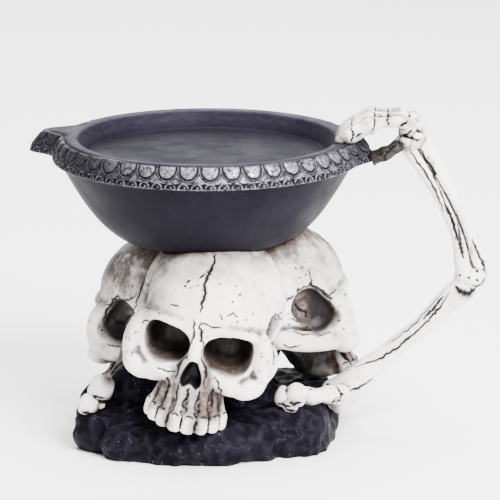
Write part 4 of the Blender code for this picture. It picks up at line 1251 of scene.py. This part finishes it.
def keep_off_rim(piece):
    """The hand lies on the lug and does not sink into it."""
    co = read_points(piece)
    radius = np.hypot(co[:, 0], co[:, 1])
    angle = np.arctan2(co[:, 1], co[:, 0])
    edge = band_radius(angle, np.clip((RIM_HEIGHT - co[:, 2]) / BAND_HEIGHT, 0, 1)) + 0.0013
    inside = (radius < edge) & (co[:, 2] < RIM_HEIGHT + GLUE_LINE)
    inside &= radius > RIM_RADIUS - RIM_WIDTH - 0.0002
    above = inside & (co[:, 2] > RIM_HEIGHT - 0.0032)
    co[above, 2] = RIM_HEIGHT + GLUE_LINE
    beside = inside & ~above & (radius > RIM_RADIUS)
    push = edge[beside] / radius[beside]
    co[beside, 0] *= push
    co[beside, 1] *= push
    write_points(piece, co)


# Studio


def set_up_studio():
    """A pale floor, three soft lamps and a white sky."""
    put_down()
    bpy.ops.mesh.primitive_plane_add(size=8.0, location=(0, 0, -0.0001))
    floor = bpy.context.object
    floor.name = "studio_floor"
    paper = Finish("white_paper", 0.9, shade(250, 250, 250))
    paper.coat(paper.grain(3), shade(253, 253, 253))
    floor.data.materials.append(paper.done())
    for name, at, aim, size, power, tint in (
        ("key_softbox", (0.85, -1.05, 1.15), (0.02, 0.0, 0.07), 0.8, 135, (1.0, 0.99, 0.98)),
        ("back_card", (-0.35, 1.6, 0.6), (-0.05, 0.0, 0.12), 1.2, 16, (0.96, 0.97, 1.0)),
        ("top_softbox", (0.0, 0.2, 1.7), (0.0, 0.0, 0.1), 1.6, 110, (1.0, 1.0, 1.0)),
    ):
        put_down()
        bpy.ops.object.light_add(type="AREA", location=at)
        lamp = bpy.context.object
        lamp.name = name
        lamp.data.shape = "SQUARE"
        lamp.data.size = size
        lamp.data.energy = power
        lamp.data.color = tint
        lamp.rotation_euler = (Vector(aim) - Vector(at)).to_track_quat("-Z", "Y").to_euler()
    world = bpy.data.worlds.new("studio")
    bpy.context.scene.world = world
    world.use_nodes = True
    sky = world.node_tree.nodes["Background"].inputs
    sky["Color"].default_value = (1.0, 1.0, 1.0, 1.0)
    sky["Strength"].default_value = 0.45


def set_up_camera():
    """The photograph's view: a little right of straight ahead, from just above."""
    flat = math.cos(CAMERA_TILT)
    back = Vector((math.sin(CAMERA_BEARING) * flat, -math.cos(CAMERA_BEARING) * flat, math.sin(CAMERA_TILT)))
    right = Vector((math.cos(CAMERA_BEARING), math.sin(CAMERA_BEARING), 0.0))
    up = back.cross(right)
    aside = (RIM_IN_PHOTO[0] - PHOTO_WIDTH / 2) / FOCAL_LENGTH
    above = (PHOTO_WIDTH / 2 - RIM_IN_PHOTO[1]) / FOCAL_LENGTH
    at = Vector((0, 0, RIM_HEIGHT)) - (right * aside + up * above - back) * CAMERA_DISTANCE
    bpy.ops.object.camera_add(location=at)
    camera = bpy.context.object
    camera.matrix_world = Matrix.Translation(at) @ Matrix((right, up, back)).transposed().to_4x4()
    camera.data.sensor_width = SENSOR_WIDTH
    camera.data.lens = SENSOR_WIDTH * FOCAL_LENGTH / PHOTO_WIDTH
    camera.data.clip_start = 0.05
    camera.data.clip_end = 20.0
    bpy.context.scene.camera = camera


bone_paint = bone_finish("antiqued_bone_painted_shade", light=(240, 235, 231), cool=(222, 212, 208))
arm_paint = bone_finish("antiqued_arm_bone_painted_shade", light=(242, 239, 236), cool=(224, 218, 216))
black_paint = black_finish("satin_black_painted_sheen")
silver_paint = silvered_finish("silver_rubbed_black_painted_highlight")
rock_paint = rock_finish("brushed_black_rock")

bowl = make_bowl()
band = make_band()
first = shape_skull()
refine(first, [line[0] for line in skull_lines()], FINE_REACH)
skulls = [first]
for name in ("right_skull", "left_skull"):
    copy = first.copy()
    copy.data = first.data.copy()
    copy.name = name
    bpy.context.collection.objects.link(copy)
    skulls.append(copy)
first.name = "front_skull"
for i, skull in enumerate(skulls):
    carve_skull(skull, 1.0 + i)
    stand_skull(skull, i * math.tau / 3, *SKULL_STANCES[i])
rock = make_rock()
loose_bones = make_loose_bones()
arm = make_arm()
# Painted shade between the pieces: how closed in each point is, which darkens the bone paint
occlusion_shade([*skulls, *loose_bones, *arm, rock, bowl])

dress(bowl, black_paint, "bowl")
dress(band, silver_paint, "bowl")
for piece in (*skulls, *loose_bones):
    dress(piece, bone_paint, "skull_base")
dress(rock, rock_paint, "skull_base")
for piece in arm:
    dress(piece, arm_paint, "arm_handle")

set_up_studio()
set_up_camera()
